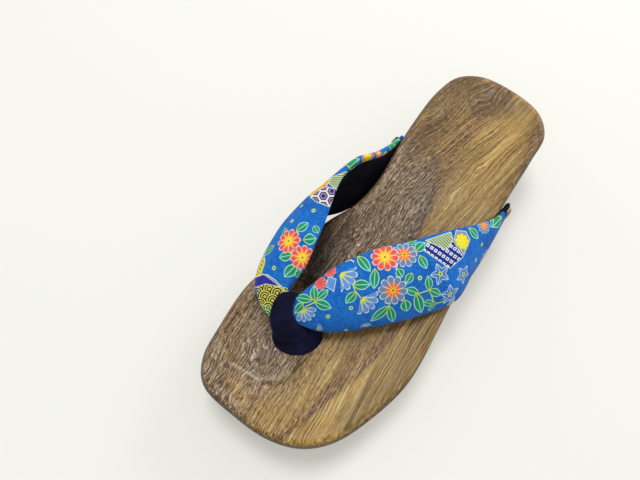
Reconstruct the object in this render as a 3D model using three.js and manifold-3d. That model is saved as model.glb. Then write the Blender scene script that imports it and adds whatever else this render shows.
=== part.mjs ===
// Left geta sandal: a carved wooden sole, padded cloth straps, a velvet thong and two tacks.
// Millimetres. The toe points along -Y, +X is the outer (little toe) side and +Z is up.
import * as THREE from 'three';
import { mergeVertices } from 'three/addons/utils/BufferGeometryUtils.js';
import Module from 'manifold-3d';

const wasm = await Module();
wasm.setup();

// Fit between neighbouring pieces, and the shift that brings the whole sandal over the origin
const gap = 0.3;
const middleShift = { x: 1.84, y: -1.59 };

// Sole: heights at the rim, and the stations along Y where they change
const toeEnd = -120;
const heelHeight = 45;
const foreHeight = 28;
const rampTop = 80;
const rampFoot = -56;
const toeLift = 3;
const toeLiftStart = -72;
const rimRound = 4.5;
const rimTurns = [0, 30, 60, 90];
const sideDraft = 2.5;
const floorRound = 1;
const outlineSteps = 96;

// Sole: underside, with the size of the cutters that shape it
const archFront = -18;
const archBack = 42;
const archRise = 9;
const springStart = -80;
const springRise = 12;
const cutterWidth = 140;
const cutterSpare = 5;
const cutterSteps = 14;

// Sole: the carved footbed, the ends of its middle line, its rings as shares of the way out from
// that line, and the big toe's dip
const bedDepth = 2;
const bedWall = 16;
const bedMiddle = { toe: -76, heel: 84 };
const bedShares = [0.95, 0.89, 0.82, 0.74, 0.65, 0.55, 0.44, 0.32, 0.19, 0.06];
const dipDepth = 2.6;
const dipCentre = { x: -20, y: -72 };
const dipHalf = { x: 22, y: 31 };
const dipSquareness = 4;
const dipFlat = 0.5;

// Thong: the hole in the sole, the stem in it, the knot under it and the pad over it
const hole = { x: -10.3, y: -70.3 };
const stemRadius = 4.7;
const stemSides = 20;
const knotRadius = 8.5;
const knotHeight = 5;
const knotTurn = 22.5;
const pocketRadius = 10.5;
const pocketDepth = 8;
const pocketSides = 24;
const padRadius = 10.8;
const padStretch = 1.28;
const padHeight = 7;
const padSunk = 3;
const padFullness = { side: 0.7, top: 0.8 };
const padTurn = 15;
const padSides = 28;

// Tacks that nail the strap ends to the sides of the sole
const tackHeadRadius = 3.6;
const tackHeadHeight = 1.8;
const shankRadius = 1.1;
const shankLength = 14;
const tackTurn = 18;
const tackSides = 16;
const tackY = 54;
const tackZ = 33.5;

// Rim of the sole seen from above, counterclockwise from the toe
const rimPoints = [
  { x: -8, y: -120 },
  { x: 11.5, y: -117.5 },
  { x: 26, y: -110.8 },
  { x: 36.5, y: -99 },
  { x: 43.7, y: -79.8 },
  { x: 48.2, y: -54 },
  { x: 43.3, y: -13 },
  { x: 37.3, y: 22 },
  { x: 33.8, y: 57 },
  { x: 31.6, y: 88 },
  { x: 29.3, y: 107 },
  { x: 18, y: 119.2 },
  { x: -4.5, y: 123.5 },
  { x: -22, y: 121.3 },
  { x: -33.8, y: 111.5 },
  { x: -37.3, y: 94 },
  { x: -36, y: 70 },
  { x: -33.4, y: 47 },
  { x: -30.2, y: 24 },
  { x: -31.7, y: 6 },
  { x: -37.5, y: -9 },
  { x: -44.5, y: -35 },
  { x: -49, y: -66 },
  { x: -45.3, y: -91 },
  { x: -39.8, y: -109.5 },
  { x: -30, y: -118.8 },
];

// Straps: a row for each section, from under the thong to the tack.
// rear and front are the section's two edges, crown how far its middle bulges, thick its padding.
const outerArm = [
  { rear: [-26, -64.5, 41.5], front: [-23, -71.5, 37.5], crown: 0.3, thick: 4.5 },
  { rear: [-20, -59, 44], front: [-14.5, -68.5, 36.5], crown: 1, thick: 6 },
  { rear: [-13.5, -38, 50], front: [1, -61.5, 32.8], crown: 4, thick: 6.5 },
  { rear: [-4, -19.5, 53], front: [18, -44.5, 33], crown: 5, thick: 6.5 },
  { rear: [8, -4, 54], front: [32.5, -26, 34], crown: 5, thick: 6 },
  { rear: [20, 14.5, 52.5], front: [43, -7, 33.2], crown: 3.5, thick: 4.5 },
  { rear: [28.5, 28, 48.5], front: [42, 9, 29], crown: 2.5, thick: 3.8 },
  { rear: [34, 39, 44.5], front: [39.8, 25, 28], crown: 1.5, thick: 3.6 },
  { rear: [36, 49, 39.5], front: [37.3, 43, 29], crown: 0.3, thick: 3.2 },
  { rear: [35.9, 58, 37.5], front: [35.9, 57, 29.5], crown: 0, thick: 3 },
];
const innerArm = [
  { rear: [-17.5, -63.5, 42], front: [-16.5, -71.5, 37.5], crown: 0.3, thick: 4.5 },
  { rear: [-24, -59.5, 45], front: [-27.5, -73, 35.5], crown: 1, thick: 6 },
  { rear: [-24.5, -46, 50.5], front: [-42, -65.5, 34], crown: 3, thick: 7 },
  { rear: [-27, -36, 54], front: [-49, -50, 34.5], crown: 4.5, thick: 7 },
  { rear: [-31, -22, 57.5], front: [-50.5, -33, 32], crown: 5, thick: 7 },
  { rear: [-35.5, -8, 59], front: [-46, -14, 28.5], crown: 4, thick: 7 },
  { rear: [-38, 6, 58], front: [-37, 3, 24], crown: 3, thick: 6.5 },
  { rear: [-38.5, 20, 54.5], front: [-33.3, 17, 22.5], crown: 2, thick: 6 },
  { rear: [-37.5, 34, 48.5], front: [-33.3, 31, 24], crown: 1, thick: 5 },
  { rear: [-37, 46, 42], front: [-35.4, 44, 27.5], crown: 0.3, thick: 3.6 },
  { rear: [-36.3, 58, 37.5], front: [-36.3, 57, 29.5], crown: 0, thick: 3 },
];
const armSteps = 3;
const armSides = 20;
const sectionFullness = 0.8;
const runStep = 0.01;

// Thong band: a row for each section, from the pad over the strap joint and back under it
const bandTurn = THREE.MathUtils.degToRad(39);
const bandAcross = new THREE.Vector3(Math.cos(bandTurn), Math.sin(bandTurn), 0);
const thongBand = [
  { centre: [-10.5, -71, 23], wide: 13, thick: 9 },
  { centre: [-12.5, -72.5, 30], wide: 17, thick: 9 },
  { centre: [-15.8, -72.3, 37], wide: 16.5, thick: 7 },
  { centre: [-19.4, -70.3, 43], wide: 13, thick: 4.8 },
  { centre: [-21.7, -66, 46.8], wide: 10.8, thick: 3.6 },
  { centre: [-22.5, -61.5, 47], wide: 10, thick: 3.2 },
  { centre: [-21.8, -59.8, 43.5], wide: 9.5, thick: 3.2 },
  { centre: [-19.5, -62.3, 38.5], wide: 9.5, thick: 3.4 },
  { centre: [-15, -66.5, 32.5], wide: 10, thick: 4.5 },
  { centre: [-11, -70, 25], wide: 10, thick: 6 },
];
const bandSteps = 3;
const bandSides = 14;

const wood = new THREE.MeshStandardMaterial({ color: 0x6b5238, roughness: 0.55, metalness: 0 });
const printedCotton = new THREE.MeshStandardMaterial({ color: 0x1f5fbf, roughness: 0.85, metalness: 0 });
const velvet = new THREE.MeshStandardMaterial({ color: 0x10142c, roughness: 0.95, metalness: 0 });
const steel = new THREE.MeshStandardMaterial({ color: 0x55534f, roughness: 0.35, metalness: 1 });

// A closed geometry from rings of equally many points, with flat caps on the first and the last
function ringSolid(rings) {
  const count = rings[0].length;
  const positions = rings.flat().flatMap((p) => [p.x, p.y, p.z]);
  const faces = [];
  for (let r = 0; r + 1 < rings.length; r += 1) {
    for (let i = 0; i < count; i += 1) {
      const a = r * count + i;
      const b = r * count + ((i + 1) % count);
      faces.push(a, b, b + count, a, b + count, a + count);
    }
  }
  const last = (rings.length - 1) * count;
  for (const [i, j, k] of capTriangles(count)) faces.push(k, j, i, last + i, last + j, last + k);
  const geometry = new THREE.BufferGeometry();
  geometry.setAttribute('position', new THREE.Float32BufferAttribute(positions, 3));
  geometry.setIndex(faces);
  return geometry;
}

// Triangles that zip the two sides of a ring together, starting at its first point
function capTriangles(count) {
  const faces = [[0, 1, count - 1]];
  let low = 1;
  let high = count - 1;
  while (high - low > 1) {
    if (low + high <= count) {
      faces.push([low, low + 1, high]);
      low += 1;
    } else {
      faces.push([low, high - 1, high]);
      high -= 1;
    }
  }
  return faces;
}

function toSolid(geometry) {
  const bare = geometry.clone();
  bare.deleteAttribute('normal');
  bare.deleteAttribute('uv');
  const merged = mergeVertices(bare);
  return new wasm.Manifold(new wasm.Mesh({
    numProp: 3,
    vertProperties: new Float32Array(merged.attributes.position.array),
    triVerts: new Uint32Array(merged.index.array),
  }));
}

function toGeometry(solid) {
  const mesh = solid.getMesh();
  const geometry = new THREE.BufferGeometry();
  geometry.setAttribute('position', new THREE.Float32BufferAttribute(mesh.vertProperties, 3));
  geometry.setIndex([...mesh.triVerts]);
  geometry.computeVertexNormals();
  return geometry;
}

function piece(name, solid, material) {
  const mesh = new THREE.Mesh(toGeometry(solid), material);
  mesh.name = name;
  return mesh;
}

// A round peg along Z, placed by a matrix
function peg(radius, bottom, top, sides, matrix = new THREE.Matrix4()) {
  const geometry = new THREE.CylinderGeometry(radius, radius, top - bottom, sides);
  geometry.rotateX(Math.PI / 2);
  geometry.translate(0, 0, (top + bottom) / 2);
  geometry.applyMatrix4(matrix);
  return toSolid(geometry);
}

// Sole
const rimCurve = new THREE.CatmullRomCurve3(
  rimPoints.map((p) => new THREE.Vector3(p.x, p.y, 0)), true, 'centripetal');
const rimSamples = rimCurve.getSpacedPoints(3 * outlineSteps);

function rimHeight(y) {
  const ramp = 1 - THREE.MathUtils.smoothstep(y, rampFoot, rampTop);
  const lift = Math.max(0, (toeLiftStart - y) / (toeLiftStart - toeEnd));
  return heelHeight + (foreHeight - heelHeight) * ramp + toeLift * lift * lift;
}

function footbedHeight(x, y) {
  const inset = Math.min(...rimSamples.map((p) => Math.hypot(p.x - x, p.y - y)));
  const bed = bedDepth * THREE.MathUtils.smoothstep(inset, rimRound, bedWall);
  const reachX = Math.abs((x - dipCentre.x) / dipHalf.x) ** dipSquareness;
  const reachY = Math.abs((y - dipCentre.y) / dipHalf.y) ** dipSquareness;
  const reach = reachX + reachY;
  const dip = dipDepth * (1 - THREE.MathUtils.smoothstep(reach, dipFlat, 1));
  return rimHeight(y) - bed - dip;
}

// The rim's outline drawn in by an inset along its own normal, at heights given by a function
function soleRing(inset, heightAt) {
  const ring = [];
  for (let i = 0; i < outlineSteps; i += 1) {
    const at = rimCurve.getPointAt(i / outlineSteps);
    const along = rimCurve.getTangentAt(i / outlineSteps);
    const x = at.x - along.y * inset;
    const y = at.y + along.x * inset;
    ring.push(new THREE.Vector3(x, y, heightAt(x, y)));
  }
  return ring;
}

// A ring drawn in towards the middle line of the sole, lying on the footbed
function bedRing(outer, share) {
  return outer.map((p) => {
    const middleY = THREE.MathUtils.clamp(p.y, bedMiddle.toe, bedMiddle.heel);
    const x = p.x * share;
    const y = middleY + (p.y - middleY) * share;
    return new THREE.Vector3(x, y, footbedHeight(x, y));
  });
}

function soleBlank(grow) {
  const rings = [
    soleRing(sideDraft + floorRound - grow, () => -grow),
    soleRing(sideDraft - grow, () => floorRound),
  ];
  for (const turn of rimTurns) {
    const angle = THREE.MathUtils.degToRad(turn);
    const inset = rimRound * (1 - Math.cos(angle)) - grow * Math.cos(angle);
    const drop = rimRound * (1 - Math.sin(angle)) - grow * Math.sin(angle);
    rings.push(soleRing(inset, (x, y) => rimHeight(y) - drop));
  }
  const edge = rings.at(-1);
  for (const share of bedShares) {
    const ring = bedRing(edge, share);
    ring.forEach((p) => { p.z += grow; });
    rings.push(ring);
  }
  return toSolid(ringSolid(rings));
}

// A cutter across the sole whose side view is a closed shape of (Y, Z) points
function crossCutter(sideView) {
  const options = { depth: cutterWidth, bevelEnabled: false, curveSegments: cutterSteps };
  const geometry = new THREE.ExtrudeGeometry(sideView, options);
  geometry.translate(0, 0, -cutterWidth / 2);
  geometry.applyMatrix4(new THREE.Matrix4().makeBasis(
    new THREE.Vector3(0, 1, 0), new THREE.Vector3(0, 0, 1), new THREE.Vector3(1, 0, 0)));
  return toSolid(geometry);
}

function archCutter() {
  const side = new THREE.Shape();
  side.moveTo(archFront, -cutterSpare);
  side.lineTo(archBack, -cutterSpare);
  side.lineTo(archBack, 0);
  side.quadraticCurveTo((archFront + archBack) / 2, 2 * archRise, archFront, 0);
  return crossCutter(side);
}

function springCutter() {
  const past = toeEnd - cutterSpare;
  const side = new THREE.Shape();
  side.moveTo(past, -cutterSpare);
  side.lineTo(springStart, -cutterSpare);
  side.lineTo(springStart, 0);
  side.quadraticCurveTo((springStart + past) / 2, 0, past, springRise);
  return crossCutter(side);
}

// Straps
function lerpRow(rows, key, t) {
  const place = t * (rows.length - 1);
  const low = Math.min(Math.floor(place), rows.length - 2);
  return THREE.MathUtils.lerp(rows[low][key], rows[low + 1][key], place - low);
}

function edgeCurve(rows, key) {
  return new THREE.CatmullRomCurve3(rows.map((row) => new THREE.Vector3(...row[key])));
}

// A padded strip between two edge curves, with a rounded section and a crowned face.
// side is 1 where the strip's front edge lies to the left of its run, seen from its face, and -1 otherwise.
function paddedStrip(rows, side, steps, sides, grow = 0) {
  const rear = edgeCurve(rows, 'rear');
  const front = edgeCurve(rows, 'front');
  const middle = (t) => rear.getPoint(t).add(front.getPoint(t)).multiplyScalar(0.5);
  const last = (rows.length - 1) * steps;
  const rings = [];
  for (let s = 0; s <= last; s += 1) {
    const t = s / last;
    const across = front.getPoint(t).sub(rear.getPoint(t));
    const half = across.length() / 2 + grow;
    across.normalize();
    const ahead = middle(Math.min(1, t + runStep)).sub(middle(Math.max(0, t - runStep)));
    const outward = ahead.cross(across).normalize().multiplyScalar(side);
    const pad = lerpRow(rows, 'thick', t) / 2 + grow;
    const crown = lerpRow(rows, 'crown', t);
    const ring = [];
    for (let i = 0; i < sides; i += 1) {
      const angle = (side * 2 * Math.PI * i) / sides;
      const w = Math.sign(Math.cos(angle)) * Math.abs(Math.cos(angle)) ** sectionFullness;
      const h = Math.sign(Math.sin(angle)) * Math.abs(Math.sin(angle)) ** sectionFullness;
      const point = middle(t);
      point.addScaledVector(across, w * half);
      point.addScaledVector(outward, h * pad + crown * (1 - w * w));
      ring.push(point);
    }
    rings.push(ring);
  }
  return toSolid(ringSolid(rings));
}

function strapPair(grow = 0) {
  const inner = paddedStrip(innerArm, 1, armSteps, armSides, grow);
  const outer = paddedStrip(outerArm, -1, armSteps, armSides, grow);
  return inner.add(outer);
}

// Thong
function bandRows() {
  return thongBand.map((row) => {
    const centre = new THREE.Vector3(...row.centre);
    const reach = bandAcross.clone().multiplyScalar(row.wide / 2);
    const rear = centre.clone().sub(reach).toArray();
    const front = centre.clone().add(reach).toArray();
    return { rear, front, crown: 0, thick: row.thick };
  });
}

function atHole() {
  return new THREE.Matrix4().makeTranslation(hole.x, hole.y, 0);
}

// The pad is a dome that starts inside the wood, so that the footbed cuts its underside to shape
function thongPad() {
  const bed = footbedHeight(hole.x, hole.y);
  const profile = [new THREE.Vector2(0, bed - padSunk), new THREE.Vector2(padRadius, bed - padSunk)];
  for (let turn = 0; turn <= 90; turn += padTurn) {
    const angle = THREE.MathUtils.degToRad(turn);
    const r = padRadius * Math.cos(angle) ** padFullness.side;
    profile.push(new THREE.Vector2(r, bed + padHeight * Math.sin(angle) ** padFullness.top));
  }
  profile.at(-1).x = 0;
  const geometry = new THREE.LatheGeometry(profile, padSides);
  geometry.rotateX(Math.PI / 2);
  geometry.scale(padStretch, 1, 1);
  geometry.rotateZ(bandTurn);
  geometry.applyMatrix4(atHole());
  return toSolid(geometry);
}

function knot() {
  const middle = pocketDepth / 2;
  const profile = [];
  for (let turn = -90; turn <= 90; turn += knotTurn) {
    const angle = THREE.MathUtils.degToRad(turn);
    const z = middle + (knotHeight / 2) * Math.sin(angle);
    profile.push(new THREE.Vector2(knotRadius * Math.cos(angle), z));
  }
  profile[0].x = 0;
  profile.at(-1).x = 0;
  const geometry = new THREE.LatheGeometry(profile, stemSides);
  geometry.rotateX(Math.PI / 2);
  geometry.applyMatrix4(atHole());
  return toSolid(geometry);
}

function thongSolid() {
  const cover = thongPad().add(paddedStrip(bandRows(), 1, bandSteps, bandSides));
  const stemTop = footbedHeight(hole.x, hole.y) + padHeight / 2;
  const stem = peg(stemRadius, pocketDepth / 2, stemTop, stemSides, atHole());
  return cover.subtract(soleBlank(gap)).subtract(strapPair(gap)).add(stem).add(knot());
}

// Tacks: a domed head against the strap end and a shank through it into the wood
function tackPlace(side) {
  const end = side > 0 ? outerArm.at(-1) : innerArm.at(-1);
  const seat = side * (Math.abs(end.rear[0] + end.front[0]) / 2 + end.thick / 2 + gap);
  return new THREE.Matrix4().makeBasis(
    new THREE.Vector3(0, side, 0), new THREE.Vector3(0, 0, 1), new THREE.Vector3(side, 0, 0),
  ).setPosition(seat, tackY, tackZ);
}

function tackSolid(side) {
  const profile = [new THREE.Vector2(0, 0)];
  for (let turn = 0; turn <= 90; turn += tackTurn) {
    const angle = THREE.MathUtils.degToRad(turn);
    profile.push(new THREE.Vector2(tackHeadRadius * Math.cos(angle), tackHeadHeight * Math.sin(angle)));
  }
  profile.at(-1).x = 0;
  const head = new THREE.LatheGeometry(profile, tackSides);
  head.rotateX(Math.PI / 2);
  head.applyMatrix4(tackPlace(side));
  const shank = peg(shankRadius, -shankLength, tackHeadHeight / 2, tackSides / 2, tackPlace(side));
  return toSolid(head).add(shank);
}

// The flat that the tack's head presses into the cloth
function tackSeat(side) {
  return peg(tackHeadRadius + gap, -gap, 2 * tackHeadHeight, tackSides, tackPlace(side));
}

function tackHole(side) {
  return peg(shankRadius + gap, -shankLength - gap, tackHeadHeight, tackSides / 2, tackPlace(side));
}

function soleSolid() {
  const stemHole = peg(stemRadius + gap, 0, heelHeight, stemSides, atHole());
  const knotPocket = peg(pocketRadius, -cutterSpare, pocketDepth, pocketSides, atHole());
  let solid = soleBlank(0).subtract(archCutter()).subtract(springCutter());
  solid = solid.subtract(stemHole).subtract(knotPocket);
  return solid.subtract(tackHole(1)).subtract(tackHole(-1));
}

function strapSolid() {
  const clear = strapPair().subtract(soleBlank(gap));
  const seated = clear.subtract(tackSeat(1)).subtract(tackSeat(-1));
  return seated.subtract(tackHole(1)).subtract(tackHole(-1));
}

const sandal = new THREE.Group();
sandal.add(
  piece('sole', soleSolid(), wood),
  piece('straps', strapSolid(), printedCotton),
  piece('thong', thongSolid(), velvet),
  piece('tack_inner', tackSolid(-1), steel),
  piece('tack_outer', tackSolid(1), steel),
);
sandal.position.set(middleShift.x, middleShift.y, 0);

export default sandal;
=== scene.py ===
import math

import bmesh
import bpy
from mathutils import Euler, Matrix, Vector, kdtree, noise
from mathutils.bvhtree import BVHTree


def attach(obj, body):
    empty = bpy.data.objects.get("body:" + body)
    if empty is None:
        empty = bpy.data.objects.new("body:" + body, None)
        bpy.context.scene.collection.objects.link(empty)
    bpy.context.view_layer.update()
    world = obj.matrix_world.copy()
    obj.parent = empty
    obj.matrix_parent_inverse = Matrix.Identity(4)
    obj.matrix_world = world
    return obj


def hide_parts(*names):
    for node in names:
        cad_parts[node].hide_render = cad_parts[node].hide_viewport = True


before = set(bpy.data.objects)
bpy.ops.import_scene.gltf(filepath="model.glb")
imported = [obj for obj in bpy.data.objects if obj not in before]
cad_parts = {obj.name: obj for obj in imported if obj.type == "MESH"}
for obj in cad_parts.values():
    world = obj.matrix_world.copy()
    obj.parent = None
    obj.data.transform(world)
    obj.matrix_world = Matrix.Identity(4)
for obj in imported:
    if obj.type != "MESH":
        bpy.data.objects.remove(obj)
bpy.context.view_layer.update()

scene = bpy.context.scene
scene.view_settings.view_transform = "Standard"
mm = 0.001
tableShift = Vector((1.84, -1.59, 0.0))  # from the tables' own zero to the middle of the sandal's box


def inFrame(point):
    return (Vector(point) + tableShift) * mm


def smoothStep(value, low, high):
    share = min(1.0, max(0.0, (value - low) / (high - low)))
    return share * share * (3.0 - 2.0 * share)


def namedRows(names, rows):
    return [dict(zip(names.split(), row)) for row in rows]


def srgb(code):
    parts = [int(code[i:i + 2], 16) / 255.0 for i in (0, 2, 4)]
    return tuple(c / 12.92 if c <= 0.04045 else ((c + 0.055) / 1.055) ** 2.4 for c in parts) + (1.0,)


def offLine(at, a, b):  # distance from a stretch of line
    run = b - a
    share = min(1.0, max(0.0, (at - a).dot(run) / run.length_squared))
    return (at - a - run * share).length


def splinePoint(points, share, closed=False):  # centripetal curve through the points
    count = len(points)
    spans = count if closed else count - 1
    spot = share * spans
    index = min(int(spot), spans - 1)
    along = spot - index
    if closed:
        near = [points[(index + k) % count] for k in (-1, 0, 1, 2)]
    else:
        ahead = points[index + 2] if index + 2 < count else 2 * points[-1] - points[-2]
        behind = points[index - 1] if index > 0 else 2 * points[0] - points[1]
        near = [behind, points[index], points[index + 1], ahead]
    d0, d1, d2 = [max((b - a).length, 1e-6) ** 0.5 for a, b in zip(near, near[1:])]
    a, b, c, d = near
    leave = ((b - a) / d0 - (c - a) / (d0 + d1) + (c - b) / d1) * d1
    arrive = ((c - b) / d1 - (d - b) / (d1 + d2) + (d - c) / d2) * d1
    square = -3 * b + 3 * c - 2 * leave - arrive
    cube = 2 * b - 2 * c + leave + arrive
    return b + leave * along + square * along ** 2 + cube * along ** 3


# Camera
cameraView = {
    "place": (0.03823, -0.11083, 0.27693),
    "elevation": 65.72,
    "turn": 39.01,
    "lens": 27.63,
    "sensor": 36.0,
    "picture": (640, 480),
    "clip": 0.01,
    "strapDistance": 0.24,
}
cameraPlace = Vector(cameraView["place"])
cameraTurn = Euler((math.radians(90 - cameraView["elevation"]), 0, math.radians(cameraView["turn"])))
pixelsPerUnit = cameraView["lens"] / cameraView["sensor"] * cameraView["picture"][0]


def makeCamera():
    data = bpy.data.cameras.new("view")
    data.lens = cameraView["lens"]
    data.sensor_width = cameraView["sensor"]
    data.clip_start = cameraView["clip"]
    camera = bpy.data.objects.new("view", data)
    camera.location = cameraPlace
    camera.rotation_euler = cameraTurn
    scene.collection.objects.link(camera)
    scene.camera = camera


def pixelRay(pixel):
    wide, high = cameraView["picture"]
    local = Vector(((pixel[0] - wide / 2) / pixelsPerUnit, (high / 2 - pixel[1]) / pixelsPerUnit, -1.0))
    return (cameraTurn.to_matrix() @ local).normalized()


makeCamera()
print("camera: set")


# Nodes: a socket that can stand in a formula, and a notepad for building a shader
class Wire:
    def __init__(self, pad, socket):
        self.pad, self.socket = pad, socket

    def __add__(self, other):
        return self.pad.math("ADD", self, other)

    def __sub__(self, other):
        return self.pad.math("SUBTRACT", self, other)

    def __rsub__(self, other):
        return self.pad.math("SUBTRACT", other, self)

    def __mul__(self, other):
        return self.pad.math("MULTIPLY", self, other)

    def __truediv__(self, other):
        return self.pad.math("DIVIDE", self, other)

    def __rtruediv__(self, other):
        return self.pad.math("DIVIDE", other, self)

    def __pow__(self, other):
        return self.pad.math("POWER", self, other)

    def __lt__(self, other):
        return self.pad.math("LESS_THAN", self, other)

    def __gt__(self, other):
        return self.pad.math("GREATER_THAN", self, other)

    def __abs__(self):
        return self.pad.math("ABSOLUTE", self)


class NodePad:
    def __init__(self, tree):
        self.tree = tree

    def plug(self, socket, value):
        value = getattr(value, "socket", value)
        if isinstance(value, bpy.types.NodeSocket):
            self.tree.links.new(value, socket)
        else:
            socket.default_value = value

    def node(self, kind, inputs=None, **settings):
        made = self.tree.nodes.new(kind)
        for name, value in settings.items():
            setattr(made, name, value)
        for name, value in (inputs or {}).items():
            self.plug(made.inputs[name], value)
        return made

    def wire(self, kind, inputs=None, output=0, **settings):
        return Wire(self, self.node(kind, inputs, **settings).outputs[output])

    def math(self, operation, *values):
        return self.wire("ShaderNodeMath", dict(enumerate(values)), operation=operation)

    def most(self, a, b):
        return self.math("MAXIMUM", a, b)

    def least(self, a, b):
        return self.math("MINIMUM", a, b)

    def vector(self, operation, *values):
        output = "Value" if operation == "DOT_PRODUCT" else "Vector"
        return self.wire("ShaderNodeVectorMath", dict(enumerate(values)), output, operation=operation)

    def mix(self, factor, first, second):
        inputs = {0: factor, 6: first, 7: second}
        return self.wire("ShaderNodeMix", inputs, 2, data_type="RGBA", clamp_factor=True)

    def span(self, value, low, high, toLow=0.0, toHigh=1.0, clamp=True):
        inputs = {"Value": value, "From Min": low, "From Max": high, "To Min": toLow, "To Max": toHigh}
        return self.wire("ShaderNodeMapRange", inputs, clamp=clamp)

    def share(self, value, low, high):  # unclamped, for a mix that clamps its own factor
        return self.span(value, low, high, clamp=False)

    def noise(self, vector, scale, detail=2.0, rough=0.5, distortion=0.0):
        inputs = {"Vector": vector, "Scale": scale, "Detail": detail, "Roughness": rough,
                  "Distortion": distortion}
        return self.wire("ShaderNodeTexNoise", inputs, "Fac")

    def ramp(self, value, spots, colours):
        made = self.node("ShaderNodeValToRGB", {"Fac": value})
        band = made.color_ramp
        while len(band.elements) < len(spots):
            band.elements.new(0.5)
        for element, spot, colour in zip(band.elements, spots, colours):
            element.position = spot
            element.color = srgb(colour)
        return Wire(self, made.outputs["Color"])

    def attribute(self, name, output="Fac"):
        return self.wire("ShaderNodeAttribute", None, output, attribute_name=name)

    def here(self):
        return self.wire("ShaderNodeTexCoord", None, "Object")


def newFinish(name, constants):
    material = bpy.data.materials.new(name)
    material.use_nodes = True
    material.node_tree.nodes.clear()
    pad = NodePad(material.node_tree)
    shader = pad.node("ShaderNodeBsdfPrincipled", constants)
    pad.node("ShaderNodeOutputMaterial", {"Surface": shader.outputs["BSDF"]})
    return material, pad, shader


def addBump(pad, shader, height, strength, distance):
    bump = pad.node("ShaderNodeBump", {"Height": height, "Strength": strength, "Distance": distance})
    pad.plug(shader.inputs["Normal"], bump.outputs["Normal"])


def newPiece(name, bm, finishes):
    mesh = bpy.data.meshes.new(name)
    bm.to_mesh(mesh)
    bm.free()
    for finish in finishes:
        mesh.materials.append(finish)
    piece = bpy.data.objects.new(name, mesh)
    scene.collection.objects.link(piece)
    return piece


def applyModifiers(piece):
    graph = bpy.context.evaluated_depsgraph_get()
    made = bpy.data.meshes.new_from_object(piece.evaluated_get(graph))
    old = piece.data
    piece.modifiers.clear()
    made.name = old.name
    piece.data = made
    bpy.data.meshes.remove(old)


def smoothFaces(piece, angle):
    bm = bmesh.new()
    bm.from_mesh(piece.data)
    for face in bm.faces:
        face.smooth = True
    for edge in bm.edges:
        edge.smooth = len(edge.link_faces) != 2 or edge.calc_face_angle() < math.radians(angle)
    bm.to_mesh(piece.data)
    bm.free()


# Sole
soleForm = {
    "toeEnd": -120.0, "heelHeight": 45.0, "foreHeight": 28.0, "rampTop": 80.0, "rampFoot": -56.0,
    "toeLift": 3.0, "toeLiftStart": -72.0, "rimRound": 4.5, "sideDraft": 2.5, "floorRound": 1.0,
    "archFront": -18.0, "archBack": 42.0, "archRise": 9.0,
    "springStart": -80.0, "springEnd": -125.0, "springRise": 12.0,
    "bedDepth": 2.0, "bedWall": 16.0, "bedToe": -76.0, "bedHeel": 84.0,
    "dipDepth": 2.6, "dipCentre": (-20.0, -72.0), "dipHalf": (22.0, 31.0), "dipFlat": 0.5,
    "hole": (-10.3, -70.3), "stemRadius": 4.7, "pocketRadius": 10.5, "pocketDepth": 8.0,
    "boreGap": 0.3, "boreLow": 2.0, "boreHigh": 60.0, "pocketLow": -5.0, "pegSides": 48,
    "rimSteps": 4000, "around": 480, "wallRings": 8, "rimRings": 10, "bedRings": 44, "underRings": 12,
    "underStart": 0.1, "floorTurns": (30, 60), "bedCrowd": 0.12, "sharpEdge": 40,
}
rimPoints = [Vector((x, y, 0)) for x, y in (
    (-8, -120), (11.5, -117.5), (26, -110.8), (36.5, -99), (43.7, -79.8), (48.2, -54), (43.3, -13),
    (37.3, 22), (33.8, 57), (31.6, 88), (29.3, 107), (18, 119.2), (-4.5, 123.5), (-22, 121.3),
    (-33.8, 111.5), (-37.3, 94), (-36, 70), (-33.4, 47), (-30.2, 24), (-31.7, 6), (-37.5, -9),
    (-44.5, -35), (-49, -66), (-45.3, -91), (-39.8, -109.5), (-30, -118.8),
)]


def rimLoop(count):  # evenly spaced points on the rim and the directions into the sole
    steps = soleForm["rimSteps"]
    dense = [splinePoint(rimPoints, i / steps, True) for i in range(steps + 1)]
    reach = [0.0]
    for a, b in zip(dense, dense[1:]):
        reach.append(reach[-1] + (b - a).length)
    spots = []
    index = 0
    for i in range(count):
        wanted = reach[-1] * i / count
        while reach[index + 1] < wanted:
            index += 1
        share = (wanted - reach[index]) / (reach[index + 1] - reach[index])
        spots.append(dense[index].lerp(dense[index + 1], share))
    inward = []
    for i in range(count):
        run = spots[(i + 1) % count] - spots[i - 1]
        inward.append(Vector((-run.y, run.x, 0)).normalized())
    return spots, inward


rimSpots, rimInward = rimLoop(soleForm["around"])
rimTree = kdtree.KDTree(len(rimSpots))
for i, spot in enumerate(rimSpots):
    rimTree.insert(spot, i)
rimTree.balance()


def insetAt(x, y):  # how far inside the rim, negative outside it
    spot, index, distance = rimTree.find((x, y, 0))
    step = Vector((x, y, 0)) - spot
    return distance if step.dot(rimInward[index]) >= 0 else -distance


def rimHeight(y):
    form = soleForm
    ramp = 1 - smoothStep(y, form["rampFoot"], form["rampTop"])
    lift = max(0.0, (form["toeLiftStart"] - y) / (form["toeLiftStart"] - form["toeEnd"]))
    fall = (form["foreHeight"] - form["heelHeight"]) * ramp
    return form["heelHeight"] + fall + form["toeLift"] * lift * lift


def footbedHeight(x, y):
    form = soleForm
    bed = form["bedDepth"] * smoothStep(abs(insetAt(x, y)), form["rimRound"], form["bedWall"])
    reach = sum(((p - c) / h) ** 4 for p, c, h in zip((x, y), form["dipCentre"], form["dipHalf"]))
    return rimHeight(y) - bed - form["dipDepth"] * (1 - smoothStep(reach, form["dipFlat"], 1))


def undersideHeight(y):
    form = soleForm
    share = (y - form["archFront"]) / (form["archBack"] - form["archFront"])
    if 0 < share < 1:
        return 4 * form["archRise"] * share * (1 - share)
    spring = max(0.0, (form["springStart"] - y) / (form["springStart"] - form["springEnd"]))
    return form["springRise"] * spring * spring


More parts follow.
